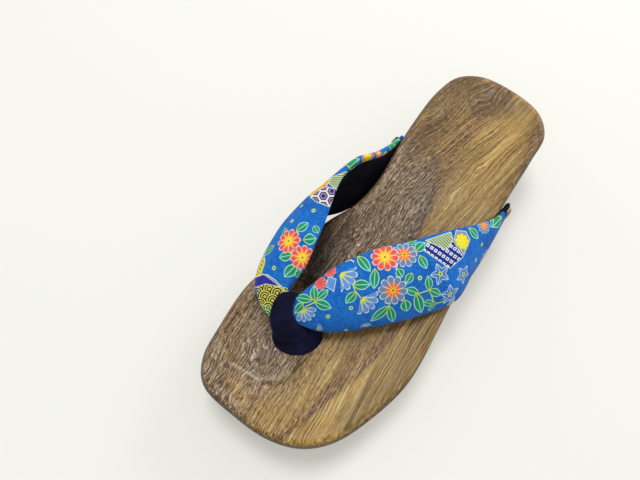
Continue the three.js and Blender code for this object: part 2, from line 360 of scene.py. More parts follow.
def wallInset(z, y):
    top = rimHeight(y) - soleForm["rimRound"]
    return soleForm["sideDraft"] * (1 - (z - soleForm["floorRound"]) / (top - soleForm["floorRound"]))


def drawnIn(ring, share, heightAt):
    points = []
    for p in ring:
        middle = min(soleForm["bedHeel"], max(soleForm["bedToe"], p.y))
        x, y = p.x * share, middle + (p.y - middle) * share
        points.append(Vector((x, y, heightAt(x, y))))
    return points


def insetRing(insetOf, heightOf):
    points = []
    for spot, inward in zip(rimSpots, rimInward):
        at = spot + inward * insetOf(spot.y)
        points.append(Vector((at.x, at.y, heightOf(at.y))))
    return points


def soleRings():
    form = soleForm
    curve = form["floorRound"]
    foot = insetRing(lambda y: wallInset(undersideHeight(y) + curve, y) + curve, undersideHeight)
    under = [drawnIn(foot, (i + form["underStart"]) / form["underRings"], lambda x, y: undersideHeight(y))
             for i in range(form["underRings"])]
    rings = under + [foot]
    for turn in form["floorTurns"]:
        tuck = curve * (1 - math.sin(math.radians(turn)))
        lift = curve * (1 - math.cos(math.radians(turn)))
        rings.append(insetRing(lambda y: wallInset(undersideHeight(y) + curve, y) + tuck,
                               lambda y: undersideHeight(y) + lift))
    for i in range(form["wallRings"]):
        share = i / form["wallRings"]

        def level(y):
            low = undersideHeight(y) + curve
            return low + (rimHeight(y) - form["rimRound"] - low) * share
        rings.append(insetRing(lambda y: wallInset(level(y), y), level))
    for i in range(form["rimRings"] + 1):
        angle = math.radians(90 * i / form["rimRings"])
        inset = form["rimRound"] * (1 - math.cos(angle))
        drop = form["rimRound"] * (1 - math.sin(angle))
        rings.append(insetRing(lambda y: inset, lambda y: rimHeight(y) - drop))
    edge = rings[-1]
    for i in range(1, form["bedRings"]):
        share = 1 - i / form["bedRings"]
        rings.append(drawnIn(edge, share * (1 + form["bedCrowd"] - form["bedCrowd"] * share), footbedHeight))
    return rings


def nextRing(bm, ring):  # extrudes a ring of vertices and gives the new ring in the same order
    edges = [bm.edges.get((a, b)) for a, b in zip(ring, ring[1:] + ring[:1])]
    made = bmesh.ops.extrude_edge_only(bm, edges=edges)["geom"]
    fresh = {v for v in made if isinstance(v, bmesh.types.BMVert)}
    return [next(e.other_vert(v) for e in v.link_edges if e.other_vert(v) in fresh) for v in ring]


def closeRing(bm, ring):  # bridges the two long sides of a ring
    half = len(ring) // 2
    edges = [bm.edges.get(pair) for side in (ring[:half], ring[half:]) for pair in zip(side, side[1:])]
    bmesh.ops.bridge_loops(bm, edges=edges)


def pegCutter(name, radius, low, high, matrix):
    bm = bmesh.new()
    bmesh.ops.create_cone(bm, cap_ends=True, segments=soleForm["pegSides"], radius1=radius * mm,
                          radius2=radius * mm, depth=(high - low) * mm)
    bmesh.ops.translate(bm, verts=bm.verts, vec=(0, 0, (high + low) / 2 * mm))
    bmesh.ops.transform(bm, verts=bm.verts, matrix=matrix)
    return newPiece(name, bm, [])


def combine(piece, tools, operation="DIFFERENCE"):
    for tool in tools:
        step = piece.modifiers.new("combine", "BOOLEAN")
        step.operation = operation
        step.solver = "MANIFOLD"
        step.object = tool
    applyModifiers(piece)
    for tool in tools:
        bpy.data.objects.remove(tool)


def grownCopy(name, distance):
    copy = bpy.data.objects.new("grown", bpy.data.objects[name].data.copy())
    scene.collection.objects.link(copy)
    swell = copy.modifiers.new("swell", "DISPLACE")
    swell.strength = distance * mm
    swell.mid_level = 0.0
    applyModifiers(copy)
    return copy


def keepLargest(piece):  # drops loose crumbs that a cut leaves
    bm = bmesh.new()
    bm.from_mesh(piece.data)
    left, islands = set(bm.verts), []
    while left:
        reached = [left.pop()]
        for v in reached:
            fresh = {e.other_vert(v) for e in v.link_edges} & left
            left -= fresh
            reached.extend(fresh)
        islands.append(reached)
    islands.sort(key=len)
    for crumbs in islands[:-1]:
        bmesh.ops.delete(bm, geom=crumbs, context="VERTS")
    bm.to_mesh(piece.data)
    bm.free()
    print("%s: %d crumbs dropped" % (piece.name, len(islands) - 1))


tackForm = {
    "headRadius": 3.6, "headHeight": 1.8, "lip": 0.35, "edgeInset": 0.15, "edgeHeight": 0.12,
    "shankRadius": 1.1, "shankLength": 14.0, "pointLength": 3.0, "gap": 0.3,
    "y": 54.0, "z": 33.5, "seat": {1: 37.7, -1: -38.1},
    "steps": 48, "domeTurns": range(12, 91, 6), "sharpEdge": 40,
}


def tackPlace(side):
    axes = Matrix(((0, 0, side), (side, 0, 0), (0, 1, 0))).to_4x4()
    return Matrix.Translation(inFrame((tackForm["seat"][side], tackForm["y"], tackForm["z"]))) @ axes


def shankCutter(side):
    form = tackForm
    low, high = -form["shankLength"] - form["gap"], form["headHeight"]
    return pegCutter("shank", form["shankRadius"] + form["gap"], low, high, tackPlace(side))


def seatCutter(side):
    form = tackForm
    low, high = -form["gap"], 2 * form["headHeight"]
    return pegCutter("seat", form["headRadius"] + form["gap"], low, high, tackPlace(side))


strokeColumns = "path wide depth edge"  # half width and depth of a stroke, softness of its edge
woodMarks = {  # soft strokes on the footbed, in the frame's millimetres
    "honey": namedRows(strokeColumns, [
        (((28, -114), (31, -100), (34, -86), (38, -68), (40, -50), (40, -36), (38, 2)), 9, 1.0, 0.12),
        (((38, 2), (31, 30), (23, 60), (16, 88), (13, 118)), 10, 0.95, 0.6),
        (((16, 18), (12, 44), (9, 70), (8, 100)), 9, 0.7, 0.6),
        (((6, -112), (10, -92), (13, -66), (15, -46)), 10, 0.58, 0.6),
        (((-30, -96), (-22, -108), (-6, -114)), 6, 0.45, 1.0),
        (((-20, 58), (-22, 84), (-14, 112)), 15, 0.36, 0.6),
    ]),
    "dark": namedRows(strokeColumns, [
        (((-14, 106), (-8, 101), (-1, 107)), 10, 0.42, 0.25),
        (((-28, 116), (-30, 84), (-27, 58)), 14, 0.44, 0.8),
        (((-8, 118), (14, 116)), 6, 0.25, 0.9),
        (((25, 112), (28, 92), (30, 62), (33, 30)), 6, 0.22, 1.0),
        (((40, -88), (44, -66), (44, -44), (40, -22)), 7.5, 0.4, 0.7),
        (((-13, 54), (-4, 46), (2, 33), (6, 18), (8, 4)), 2.0, 0.52, 0.9),
        (((19, -114), (22, -100), (25, -86), (29, -68), (31, -50), (31, -36)), 0.9, 0.24, 1.0),
        (((-26, 6), (-18, 22), (-20, 44)), 11, 0.14, 0.8),
        # the next four strokes darken the footbed under and beside the straps: painted shade of the straps,
        # in part scorch as well
        (((-14, 8), (-6, 14), (-4, 28), (-10, 42)), 8, 0.34, 1.0),
        (((10, -56), (14, -40), (20, -22)), 9, 0.3, 1.0),
        (((-20, -44), (-27, -32), (-33, -22), (-41, -11)), 7.5, 0.95, 1.0),
        (((-18, -34), (-25, -16), (-33, 0)), 7, 0.4, 1.0),
    ]),
    # smoother, flatter wood along the toe dip's crease, its colour lightened there as a painted highlight
    "polish": namedRows(strokeColumns, [
        (((-36, -100), (-24, -103), (-16, -102), (-9, -100.5), (-3, -95), (1, -88)), 1.7, 0.4, 0.8),
        (((-24, -103.6), (-16, -102.4), (-9, -101.2)), 0.9, 1.0, 0.9),
    ]),
    "calm": namedRows(strokeColumns, [
        (((-6, 52), (4, 44), (8, 32), (12, 18), (14, 4)), 4.5, 0.7, 0.6),
    ]),
    "ash": namedRows(strokeColumns, [
        (((-26, -60), (-18, -76), (-12, -88)), 22, 1.0, 0.5),
        (((-38, -100), (-30, -110), (-8, -114)), 10, 1.0, 0.8),
        (((-12, -40), (-10, -10), (-12, 16), (-19, 34)), 19, 1.0, 0.22),
        (((18, -112), (24, -90), (27, -70), (29, -48)), 4, 0.2, 0.9),
    ]),
}
woodKnots = namedRows("at reach pull", [
    ((-10, 104), 11, 0.5), ((-29, 74), 9, 0.48), ((0, 22), 9, 0.4), ((-18, -86), 12, 0.35),
    ((14, 62), 6, 0.45), ((12, 40), 5, 0.52),
])
woodForm = {  # course of the grain, and how dark the rim and the walls are
    "bow": 0.0009, "wander": 2.2, "wanderScale": 0.012, "knotCore": 0.6,
    "rimFade": (0.3, 2.4), "rimDark": 0.8, "sideFade": (4.0, 7.0),
    "wallDark": 0.35, "wallDarker": 0.4, "wallFade": (14, 3),
}
woodNoises = {  # scale across, along and into the grain; detail, roughness and distortion
    "sway": ((0.12, 0.05, 0.12), 2.0, 0.5, 0.0),
    "curl": ((0.16, 0.12, 0.16), 2.0, 0.5, 0.4),
    "line": ((1.4, 0.02, 1.4), 3.0, 0.65, 0.0),
    "dash": ((1.7, 0.26, 1.7), 1.0, 0.5, 0.0),
    "fleck": ((1.5, 0.34, 1.5), 1.0, 0.5, 0.3),
    "band": ((0.16, 0.006, 0.16), 4.0, 0.6, 0.0),
    "cloud": ((0.06, 0.03, 0.06), 3.0, 0.55, 0.0),
}
woodTones = {
    "spots": (0.08, 0.4, 0.62, 0.98),
    "brown": ("2b1e10", "6a4b27", "8e693a", "c8a36c"),
    "ashen": ("3a2a1d", "6e563e", "907657", "cfb593"),
    "golden": ("443012", "8c6b30", "b39049", "dfc485"),
    # the pale last tone is a painted highlight on the toe dip's crease
    "scorchAndShadeDeep": "160f09", "scorchAndShadeTone": "433220", "paintedHighlight": "e6dcc8",
}
woodLook = {  # strengths, and for a span the two ends of the input and of the result
    "sway": 3.2, "curl": 3.0, "ashTicks": 0.16, "honeyTicks": (0.1, 0.9, 0.34, 0.12),
    "pore": (0.52, 0.68), "light": (0.53, 0.7), "lined": (0.0, 1.0, 1.85, 0.5),
    "middle": 0.52, "band": 0.42, "cloud": 0.25, "streak": 0.55,
    "ashSpan": (0.1, 0.9), "honeySpan": (0.15, 0.85), "scorchAndShadeSpan": (0.1, 0.9),
    # the span after patchy scales the painted highlight on the toe dip's crease
    "patchy": (0.3, 0.7, 1.15, 0.8), "paintedHighlight": (0.38, 0.58, 0.25, 0.65), "rough": (0.3, 0.7, 0.46, 0.32),
    "glint": 0.42, "smooth": 0.16, "flat": 0.85, "specular": 0.45, "bump": 0.85, "bumpHeight": 0.0004,
}


def strokeShare(x, y, strokes):
    best = 0.0
    for stroke in strokes:
        low, high = stroke["wide"] * (1 - stroke["edge"]), stroke["wide"] * (1 + stroke["edge"])
        path = [Vector(point) for point in stroke["path"]]
        for a, b in zip(path, path[1:]):
            fade = 1 - smoothStep(offLine(Vector((x, y)), a, b), low, high)
            best = max(best, stroke["depth"] * fade)
    return best


def grainPlace(x, y, z):  # across the grain, along it and into the wood, bent round the knots
    form = woodForm
    scale = form["wanderScale"]
    wander = noise.noise(Vector((x * scale, y * scale, z * scale)))
    across = x - form["bow"] * y * y + form["wander"] * wander
    for knot in woodKnots:
        step = Vector((x, y)) - Vector(knot["at"])
        bend = knot["reach"] ** 2 / (step.length_squared + knot["reach"] ** 2 * form["knotCore"])
        across -= knot["pull"] * step.x * bend
    return (across, y, z - footbedHeight(x - tableShift.x, y - tableShift.y))


def paintWood(piece):
    form, mesh = woodForm, piece.data
    marks = ("honey", "polish", "calm", "ash")
    for name in ("grain", "scorch") + marks:
        mesh.attributes.new(name, "FLOAT_VECTOR" if name == "grain" else "FLOAT", "POINT")
    for v in mesh.vertices:
        x, y, z = v.co / mm
        mesh.attributes["grain"].data[v.index].vector = grainPlace(x, y, z)
        for name in marks:
            mesh.attributes[name].data[v.index].value = strokeShare(x, y, woodMarks[name])
        drop = rimHeight(y - tableShift.y) - z
        rim = 1 - smoothStep(insetAt(x - tableShift.x, y - tableShift.y), *form["rimFade"])
        wall = form["wallDark"] + form["wallDarker"] * smoothStep(drop, *form["wallFade"])
        side = smoothStep(drop, *form["sideFade"])
        # the dark strokes hold scorch and painted shade of the straps
        top = max(strokeShare(x, y, woodMarks["dark"]), rim * form["rimDark"])
        mesh.attributes["scorch"].data[v.index].value = top * (1 - side) + wall * side


def scorchedWood():
    look, tones = woodLook, woodTones
    material, pad, shader = newFinish("scorchedPaulownia", {"Specular IOR Level": look["specular"]})
    grain = pad.attribute("grain", "Vector")
    honey, scorch, polish, ash, calm = [pad.attribute(name) for name in
                                        ("honey", "scorch", "polish", "ash", "calm")]

    def drawn(name, at):
        scale, *rest = woodNoises[name]
        return pad.noise(pad.vector("MULTIPLY", at, scale), 1.0, *rest)

    curled = (drawn("curl", grain) - 0.5) * (ash * look["curl"])
    shift = (drawn("sway", grain) - 0.5) * look["sway"] + curled
    flow = pad.vector("ADD", grain, pad.wire("ShaderNodeCombineXYZ", {"X": shift}))
    line, dash, fleck, band = [drawn(name, flow) for name in ("line", "dash", "fleck", "band")]
    ticks = ash * look["ashTicks"] + pad.span(honey, *look["honeyTicks"])
    pore = pad.span(dash, *look["pore"]) * ticks
    # pale flecks in the grain; in the colour they are partly a painted glint of the brushed ridges
    light = pad.span(fleck, *look["light"]) * ticks
    tone = (line - 0.5) * pad.span(calm, *look["lined"]) + look["middle"]
    tone = tone + (band - 0.5) * look["band"] + (drawn("cloud", grain) - 0.5) * look["cloud"]
    tone = tone - pore + light
    brown, ashen, golden = [pad.ramp(tone, tones["spots"], tones[name]) for name in
                            ("brown", "ashen", "golden")]
    streak = (band - 0.5) * look["streak"]
    colour = pad.mix(pad.span(ash + streak, *look["ashSpan"]), brown, ashen)
    colour = pad.mix(pad.span(honey + streak, *look["honeySpan"]), colour, golden)
    # dark tones for scorched wood and for the painted shade of the straps from the dark strokes
    scorchAndShadeTone = pad.mix(pad.span(tone, *look["scorchAndShadeSpan"]), srgb(tones["scorchAndShadeDeep"]), srgb(tones["scorchAndShadeTone"]))
    colour = pad.mix(scorch * pad.span(line, *look["patchy"]), colour, scorchAndShadeTone)
    # painted highlight along the toe dip's crease
    colour = pad.mix(polish * polish * pad.span(line, *look["paintedHighlight"]), colour, srgb(tones["paintedHighlight"]))
    pad.plug(shader.inputs["Base Color"], colour)
    smooth = polish * look["smooth"] + light * ash * look["glint"]
    pad.plug(shader.inputs["Roughness"], pad.span(line, *look["rough"]) - smooth)
    height = (line + light - pore) * (1.0 - polish * look["flat"])
    addBump(pad, shader, height, look["bump"], look["bumpHeight"])
    return material


def makeSole():
    form = soleForm
    bm = bmesh.new()
    rings = soleRings()
    ring = bmesh.ops.create_circle(bm, cap_ends=False, segments=len(rings[0]), radius=1)["verts"]
    first = ring
    for i, points in enumerate(rings):
        if i:
            ring = nextRing(bm, ring)
        for v, p in zip(ring, points):
            v.co = inFrame(p)
    closeRing(bm, first)
    closeRing(bm, ring)
    bmesh.ops.recalc_face_normals(bm, faces=bm.faces)
    piece = newPiece("sole_block", bm, [scorchedWood()])
    atHole = Matrix.Translation(inFrame((*form["hole"], 0)))
    combine(piece, [
        pegCutter("pocket", form["pocketRadius"], form["pocketLow"], form["pocketDepth"], atHole),
        pegCutter("bore", form["stemRadius"] + form["boreGap"], form["boreLow"], form["boreHigh"], atHole),
        shankCutter(1), shankCutter(-1),
    ])
    smoothFaces(piece, form["sharpEdge"])
    paintWood(piece)
    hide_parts("sole")
    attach(piece, "root")
    print("sole: %d faces" % len(piece.data.polygons))


makeSole()


# Straps
armColumns = "rear front crown thick"
outerArm = namedRows(armColumns, [
    ((-26, -64.5, 41.5), (-23, -71.5, 37.5), 0.3, 4.5),
    ((-20, -59, 44), (-14.5, -68.5, 36.5), 1, 6),
    ((-13.5, -38, 50), (1, -61.5, 32.8), 4, 6.5),
    ((-4, -19.5, 53), (18, -44.5, 33), 5, 6.5),
    ((8, -4, 54), (32.5, -26, 34), 5, 6),
    ((20, 14.5, 52.5), (43, -7, 33.2), 3.5, 4.5),
    ((28.5, 28, 48.5), (42, 9, 29), 2.5, 3.8),
    ((34, 39, 44.5), (39.8, 25, 28), 1.5, 4.6),
    ((36, 49, 39.5), (37.3, 43, 29), 0.3, 4.6),
    ((35.9, 58, 37.5), (35.9, 57, 29.5), 0, 3),
])
innerArm = namedRows(armColumns, [
    ((-17.5, -63.5, 42), (-16.5, -71.5, 37.5), 0.3, 4.5),
    ((-24, -59.5, 45), (-27.5, -73, 35.5), 1, 6),
    ((-24.5, -46, 50.5), (-42, -65.5, 34), 3, 7),
    ((-27, -36, 54), (-49, -50, 34.5), 4.5, 7),
    ((-31, -22, 57.5), (-50.5, -33, 32), 6, 7),
    ((-36.5, -8, 59), (-46.5, -14, 26.5), 6, 7),
    ((-40.5, 6, 58.6), (-38, 3, 21), 5, 6.8),
    ((-40.5, 20, 55.3), (-33.8, 17, 20.5), 3, 6.8),
    ((-37, 33, 48.5), (-33.3, 31, 24), 1, 6.4),
    ((-35.8, 45.5, 43), (-35, 44, 27.5), 0.3, 5.2),
    ((-36.3, 58, 37.5), (-36.3, 57, 29.5), 0, 3),
])
strapForm = {
    "along": 230, "around": 100, "lengthSteps": 60, "fullness": 0.8, "runStep": 0.01,
    "clear": 0.32, "clearAbove": 1.0,
    "liningEdge": 0.8, "liningLow": 0.97, "liningEnd": 0.985, "tab": 0.9, "clothAround": 90.0,
    "seamDepth": 0.45, "seamWide": 0.05, "seamFade": (0.94, 1.0), "faceEdge": 1.4, "flatEdge": 6,
    "gatherDepth": 0.5, "gatherFade": (0.03, 0.2), "gatherFolds": 3.5,
    "nailDepth": 0.3, "nailFade": (0.82, 0.97), "nailFolds": 2.5,
    "puff": 0.28, "puffSize": 15.0, "puffSide": 7.0, "puffFade": (0.06, 0.16), "sharpEdge": 60,
}
strapFolds = {  # soft troughs: share along the arm, share across it, half sizes and depth in millimetres
    "outer": namedRows("along across long wide turn deep", [
        (0.17, 0.25, 13, 3.2, 12, 0.8), (0.22, -0.45, 11, 2.6, -14, 0.6), (0.62, 0.55, 12, 2.6, 30, 0.5),
        (0.72, -0.1, 11, 2.4, 22, 0.55), (0.5, -0.6, 9, 2.2, -18, 0.35),
    ]),
    "inner": namedRows("along across long wide turn deep", [
        (0.15, -0.2, 11, 3.0, 18, 0.9), (0.2, 0.45, 12, 2.6, -10, 0.6), (0.5, -0.4, 13, 2.8, 14, 0.5),
        (0.68, 0.2, 12, 2.6, -20, 0.5), (0.8, -0.2, 9, 2.2, 12, 0.4),
    ]),
}


def rowPoint(rows, key, share):
    return splinePoint([Vector(row[key]) for row in rows], share)


def rowValue(rows, key, share):
    return splinePoint([Vector((row[key], 0, 0)) for row in rows], share).x


def sectionTurn(turn):
    power = strapForm["fullness"]
    w, h = math.cos(turn), math.sin(turn)
    return math.copysign(abs(w) ** power, w), math.copysign(abs(h) ** power, h)


class Arm:
    def __init__(self, name, rows, side, tab=1.1):  # a tab beyond 1 is none
        self.name, self.rows, self.side, self.tab = name, rows, side, tab
        steps = strapForm["lengthSteps"]
        spots = [self.middle(i / steps) for i in range(steps + 1)]
        self.length = sum((a - b).length for a, b in zip(spots, spots[1:]))

    def middle(self, share):
        return (rowPoint(self.rows, "rear", share) + rowPoint(self.rows, "front", share)) / 2

    def section(self, share):  # middle, across, outward, half width, half padding and crown
        across = rowPoint(self.rows, "front", share) - rowPoint(self.rows, "rear", share)
        half = across.length / 2
        across.normalize()
        step = strapForm["runStep"]
        run = self.middle(min(1.0, share + step)) - self.middle(max(0.0, share - step))
        outward = run.cross(across).normalized() * self.side
        pad, crown = rowValue(self.rows, "thick", share) / 2, rowValue(self.rows, "crown", share)
        return self.middle(share), across, outward, half, pad, crown

    def relief(self, share, w, half):  # how far the cloth's face stands out or sinks in
        form = strapForm
        gathered = form["gatherDepth"] * (1 - smoothStep(share, *form["gatherFade"]))
        nailed = form["nailDepth"] * smoothStep(share, *form["nailFade"])
        rise = -gathered * (1 + math.cos(w * math.pi * form["gatherFolds"]))
        rise -= nailed * (1 + math.cos(w * math.pi * form["nailFolds"]))
        for fold in strapFolds[self.name]:
            turn = math.radians(fold["turn"])
            step = (share - fold["along"]) * self.length
            off = (w - fold["across"]) * half
            x = step * math.cos(turn) + off * math.sin(turn)
            y = off * math.cos(turn) - step * math.sin(turn)
            rise -= fold["deep"] * math.exp(-(x / fold["long"]) ** 2 - (y / fold["wide"]) ** 2)
        spot = Vector((share * self.length, w * half, form["puffSide"] * self.side)) / form["puffSize"]
        puff = form["puff"] * noise.noise(spot) * smoothStep(share, *form["puffFade"])
        return (rise + puff) * (1 - w ** form["flatEdge"])

    def plainPoint(self, section, turn):
        middle, across, outward, half, pad, crown = section
        w, h = sectionTurn(turn)
        return middle + across * (w * half) + outward * (h * pad + crown * (1 - w * w))

    def point(self, section, share, turn):
        form = strapForm
        w, h = sectionTurn(turn)
        if h > 0:
            lift = self.relief(share, w, section[3]) * min(1.0, h * form["faceEdge"])
        else:
            seam = math.exp(-((abs(w) - form["liningEdge"]) / form["seamWide"]) ** 2)
            lift = form["seamDepth"] * seam * (1 - smoothStep(share, *form["seamFade"]))
        return self.plainPoint(section, turn) + section[2] * lift


def clearOfSole(point):  # lays cloth that would reach into the wood against it
    form, clear = soleForm, strapForm["clear"]
    inset, top = insetAt(point.x, point.y), rimHeight(point.y)
    _, index, _ = rimTree.find((point.x, point.y, 0))
    outward = -rimInward[index]
    level = top - form["rimRound"]
    inside = inset - (wallInset(point.z, point.y) if point.z < level else 0)
    if inside <= -clear or point.z > top + strapForm["clearAbove"]:
        return point
    if point.z <= level:
        return point + outward * (inside + clear)
    corner = Vector((form["rimRound"] - inside, point.z - level))
    if corner.x <= 0:
        return Vector((point.x, point.y, max(point.z, footbedHeight(point.x, point.y) + clear)))
    short = form["rimRound"] + clear - corner.length
    if short <= 0:
        return point
    push = corner.normalized() * short
    return point + outward * push.x + Vector((0, 0, push.y))


def closeTube(bm, dist):  # welds a rolled-up grid and caps its ends
    bmesh.ops.remove_doubles(bm, verts=bm.verts, dist=dist)
    bmesh.ops.holes_fill(bm, edges=[e for e in bm.edges if e.is_boundary], sides=0)


def armMesh(arm):
    form, steps = strapForm, strapForm["along"]
    bm = bmesh.new()
    cloth = bm.loops.layers.uv.new("cloth")
    bmesh.ops.create_grid(bm, x_segments=steps, y_segments=form["around"], size=0.5, calc_uvs=True)
    sections = {}
    lining = set()
    for v in bm.verts:
        share, around = v.co.x + 0.5, v.co.y + 0.5
        key = round(share * steps)
        if key not in sections:
            sections[key] = arm.section(share)
        turn = 2 * math.pi * around
        w, h = sectionTurn(turn)
        edge = form["liningLow"] if w * arm.side > 0 else form["liningEdge"]
        if (h < -1e-5 and abs(w) < edge and share < form["liningEnd"]) or share > arm.tab:
            lining.add(v)
        v.co = clearOfSole(arm.point(sections[key], share, turn))
    for face in bm.faces:
        printed = 0 if arm.name == "outer" else 1
        face.material_index = 2 if all(v in lining for v in face.verts) else printed
        for loop in face.loops:
            spot = loop[cloth].uv
            loop[cloth].uv = (spot.x * arm.length, spot.y * form["clothAround"])
    for v in bm.verts:
        v.co = inFrame(v.co)
    closeTube(bm, 1e-6)
    bmesh.ops.recalc_face_normals(bm, faces=bm.faces)
    return bm


arms = {"outer": Arm("outer", outerArm, -1, strapForm["tab"]), "inner": Arm("inner", innerArm, 1)}
armMeshes = {name: armMesh(arm) for name, arm in arms.items()}
armTrees = {name: BVHTree.FromBMesh(bm) for name, bm in armMeshes.items()}
print("straps: arms drawn")


# Print on the cloth: each motif lies in its own small plane on the strap
def nodeGroup(name, inputs, outputs, draw):
    tree = bpy.data.node_groups.new(name, "ShaderNodeTree")
    for way, sockets in (("INPUT", inputs), ("OUTPUT", outputs)):
        for socket, kind in sockets.items():
            tree.interface.new_socket(socket, in_out=way, socket_type="NodeSocket" + kind)
    pad = NodePad(tree)
    start, end = pad.node("NodeGroupInput"), pad.node("NodeGroupOutput")
    given = {socket: Wire(pad, start.outputs[socket]) for socket in inputs}
    for value, socket in zip(draw(pad, given), end.inputs):
        pad.plug(socket, value)
    return tree


printTones = {name: srgb(code) for name, code in {
    "cobalt": "1f7ad6", "cobaltDeep": "0f56ac", "cream": "e3e9c6", "lime": "c3dd3a", "leaf": "1fa27c",
    "leafDeep": "138668", "leafEdge": "a8e4c6", "ink": "101a10", "starDeep": "3f6fc0", "star": "5f8fd0",
    "starEdge": "bcd6e0", "starHeart": "6a8a3a", "ringEdge": "3f7a5c", "ring": "c8e69c",
    "ringHeart": "5d93b0", "latticeHeart": "7a2a2e", "hexagonRing": "a58fce",
}.items()}
flowerColumns = "petals inner petal line heart heartSize blendFrom blendTo lineWide"
flowerKinds = {name: dict(zip(flowerColumns.split(), row)) for name, *row in (
    ("red", 10, "f7a93c", "ec5a50", "fbc9b0", "f9d63f", 0.33, 0.33, 0.6, 0.085),
    ("slate", 10, "ee6d4c", "6f89b2", "d3dfcd", "f5bd4a", 0.15, 0.48, 0.52, 0.07),
    ("pale", 13, "e2e04a", "6b97d4", "d3e8d8", "d9e24a", 0.16, 0.16, 0.4, 0.06),
    ("amber", 8, "f6cf3a", "ef7a45", "f6d9a0", "f7e04a", 0.4, 0.4, 0.75, 0.05),
    ("coral", 8, "d8504c", "e4605a", "f2b8ae", "e4605a", 0.02, 0.1, 0.8, 0.07),
    ("yellow", 9, "f3e02c", "f2e62e", "c9b31c", "f6ec50", 0.2, 0.2, 0.6, 0.05),
)}
motifForm = {  # shares of a motif's own size; pitches, border and depth of a patch in millimetres
    "leafEdge": 0.19, "leafRib": 0.08, "leafFade": (-1.0, 1.0), "leafEdgeFade": (-0.9, 0.2),
    "petalRound": 0.3, "petalPower": 3.0, "lineFade": (0.3, 0.75), "flowerDot": 0.06, "spreadOver": 0.001,
    "starPetals": 5.0, "starSlope": 1.2, "starHollow": 0.48, "starEdge": 0.1, "starRib": 0.022,
    "starFade": (0.2, 0.9), "starHeart": 0.22, "starDot": 0.1, "ringInner": 0.8, "ringHeart": 0.42,
    "corners": 6, "farSide": 99.0, "border": 0.3, "depth": 7.0,
    "stripePitch": 1.2, "stripeSlope": 0.5, "stripeShare": 0.42,
    "squarePitches": (("X", 2.3), ("Y", 3.1)), "squareOuter": 0.8, "squareInner": 0.33,
    "latticePitch": 3.4, "latticeMark": 0.36, "latticeHeart": 0.16,
    "hexagonPitch": 5.0, "hexagonTall": 1.732, "hexagonSlope": (0.5, 0.866),
    "hexagonRing": (0.19, 0.29), "hexagonEdge": 0.41,
    "wavePitch": 2.9, "waveWide": 6.4, "waveShift": 3.2, "waveLine": 1.2, "waveShare": 0.46,
    "speckWaves": ((4.1, 1.7), (-1.3, 3.7), (2.2, -2.9)), "speckLevel": 1.35,
    "leafSpread": 1.25, "leafReach": 1.08, "unseenLeaf": 0.38, "unseenPale": 75,
    "unseenCorners": (15, 80, 150, 215, 300), "ringToward": (1, 0.3, 0),
}


def drawLeaf(pad, given):
    form, tones, x, side = motifForm, printTones, given["X"], abs(given["Y"])
    depth = 1.0 - x * x - side
    line = pad.most(depth < form["leafEdge"], side < form["leafRib"])
    green = pad.mix(pad.share(x, *form["leafFade"]), tones["leafDeep"], tones["leaf"])
    pale = pad.mix(pad.share(x, *form["leafEdgeFade"]), tones["lime"], tones["leafEdge"])
    return pad.mix(line, green, pale), depth > 0.0


def drawStroke(pad, given):
    return given["Tone"], pad.most(abs(given["X"]), abs(given["Y"])) < 1.0


def polar(pad, x, y):
    return pad.math("SQRT", x * x + y * y), pad.math("ARCTAN2", y, x)


def petalFold(pad, angle, petals):  # zero along the middle of a petal, a half along its sides
    return abs(pad.math("FRACT", angle * (petals / (2 * math.pi)) + 0.5) - 0.5)


def drawFlower(pad, given):
    form, petals, heart = motifForm, given["petals"], given["heart"]
    reach, angle = polar(pad, given["X"], given["Y"])
    side = petalFold(pad, angle, petals) * 2.0
    rim = 1.0 - side ** form["petalPower"] * form["petalRound"] - reach
    gap = (1.0 - side) * (reach * (2 * math.pi / petals))
    petal = pad.mix(pad.share(reach, given["blendFrom"], given["blendTo"]), given["inner"], given["petal"])
    drawn = pad.mix(pad.share(reach, *form["lineFade"]), heart, given["line"])
    colour = pad.mix(pad.least(rim, gap) < given["lineWide"], petal, drawn)
    colour = pad.mix(reach < given["heartSize"], colour, heart)
    colour = pad.mix(reach < form["flowerDot"], colour, printTones["ink"])
    return colour, (rim > 0.0) * (abs(angle) < given["spread"])


def drawStar(pad, given):
    form, tones = motifForm, printTones
    reach, angle = polar(pad, given["X"], given["Y"])
    fold = petalFold(pad, angle, form["starPetals"])
    rim = 1.0 - fold * (form["starSlope"] - fold * form["starHollow"]) - reach
    line = pad.most(rim < form["starEdge"], fold * reach < form["starRib"])
    petal = pad.mix(pad.share(reach, *form["starFade"]), tones["starDeep"], tones["star"])
    colour = pad.mix(line, petal, tones["starEdge"])
    colour = pad.mix(reach < form["starHeart"], colour, tones["lime"])
    colour = pad.mix(reach < form["starDot"], colour, tones["starHeart"])
    return colour, rim > 0.0


def drawRing(pad, given):
    reach, _ = polar(pad, given["X"], given["Y"])
    colour = pad.mix(reach < motifForm["ringInner"], printTones["ringEdge"], printTones["ring"])
    colour = pad.mix(reach < motifForm["ringHeart"], colour, printTones["ringHeart"])
    return colour, reach < 1.0


def drawPatch(pad, given):
    depth = motifForm["farSide"]
    for i in range(motifForm["corners"]):
        run, rise, rest = [given["%s %d" % (name, i)] for name in ("run", "rise", "rest")]
        depth = pad.least(depth, given["X"] * run + rest + given["Y"] * rise)
    colour = pad.mix(depth < motifForm["border"], given["fill"], given["border"])
    return colour, (abs(given["Z"]) < 1.0) * (depth > 0.0)


def beat(pad, value, period=1.0):  # where a value stands in its repeat, from 0 to 1
    return pad.math("FRACT", value / period)


def drawStripes(pad, given):
    slope = given["X"] + given["Y"] * motifForm["stripeSlope"]
    return [(beat(pad, slope, motifForm["stripePitch"]) < motifForm["stripeShare"], given["mark"])]


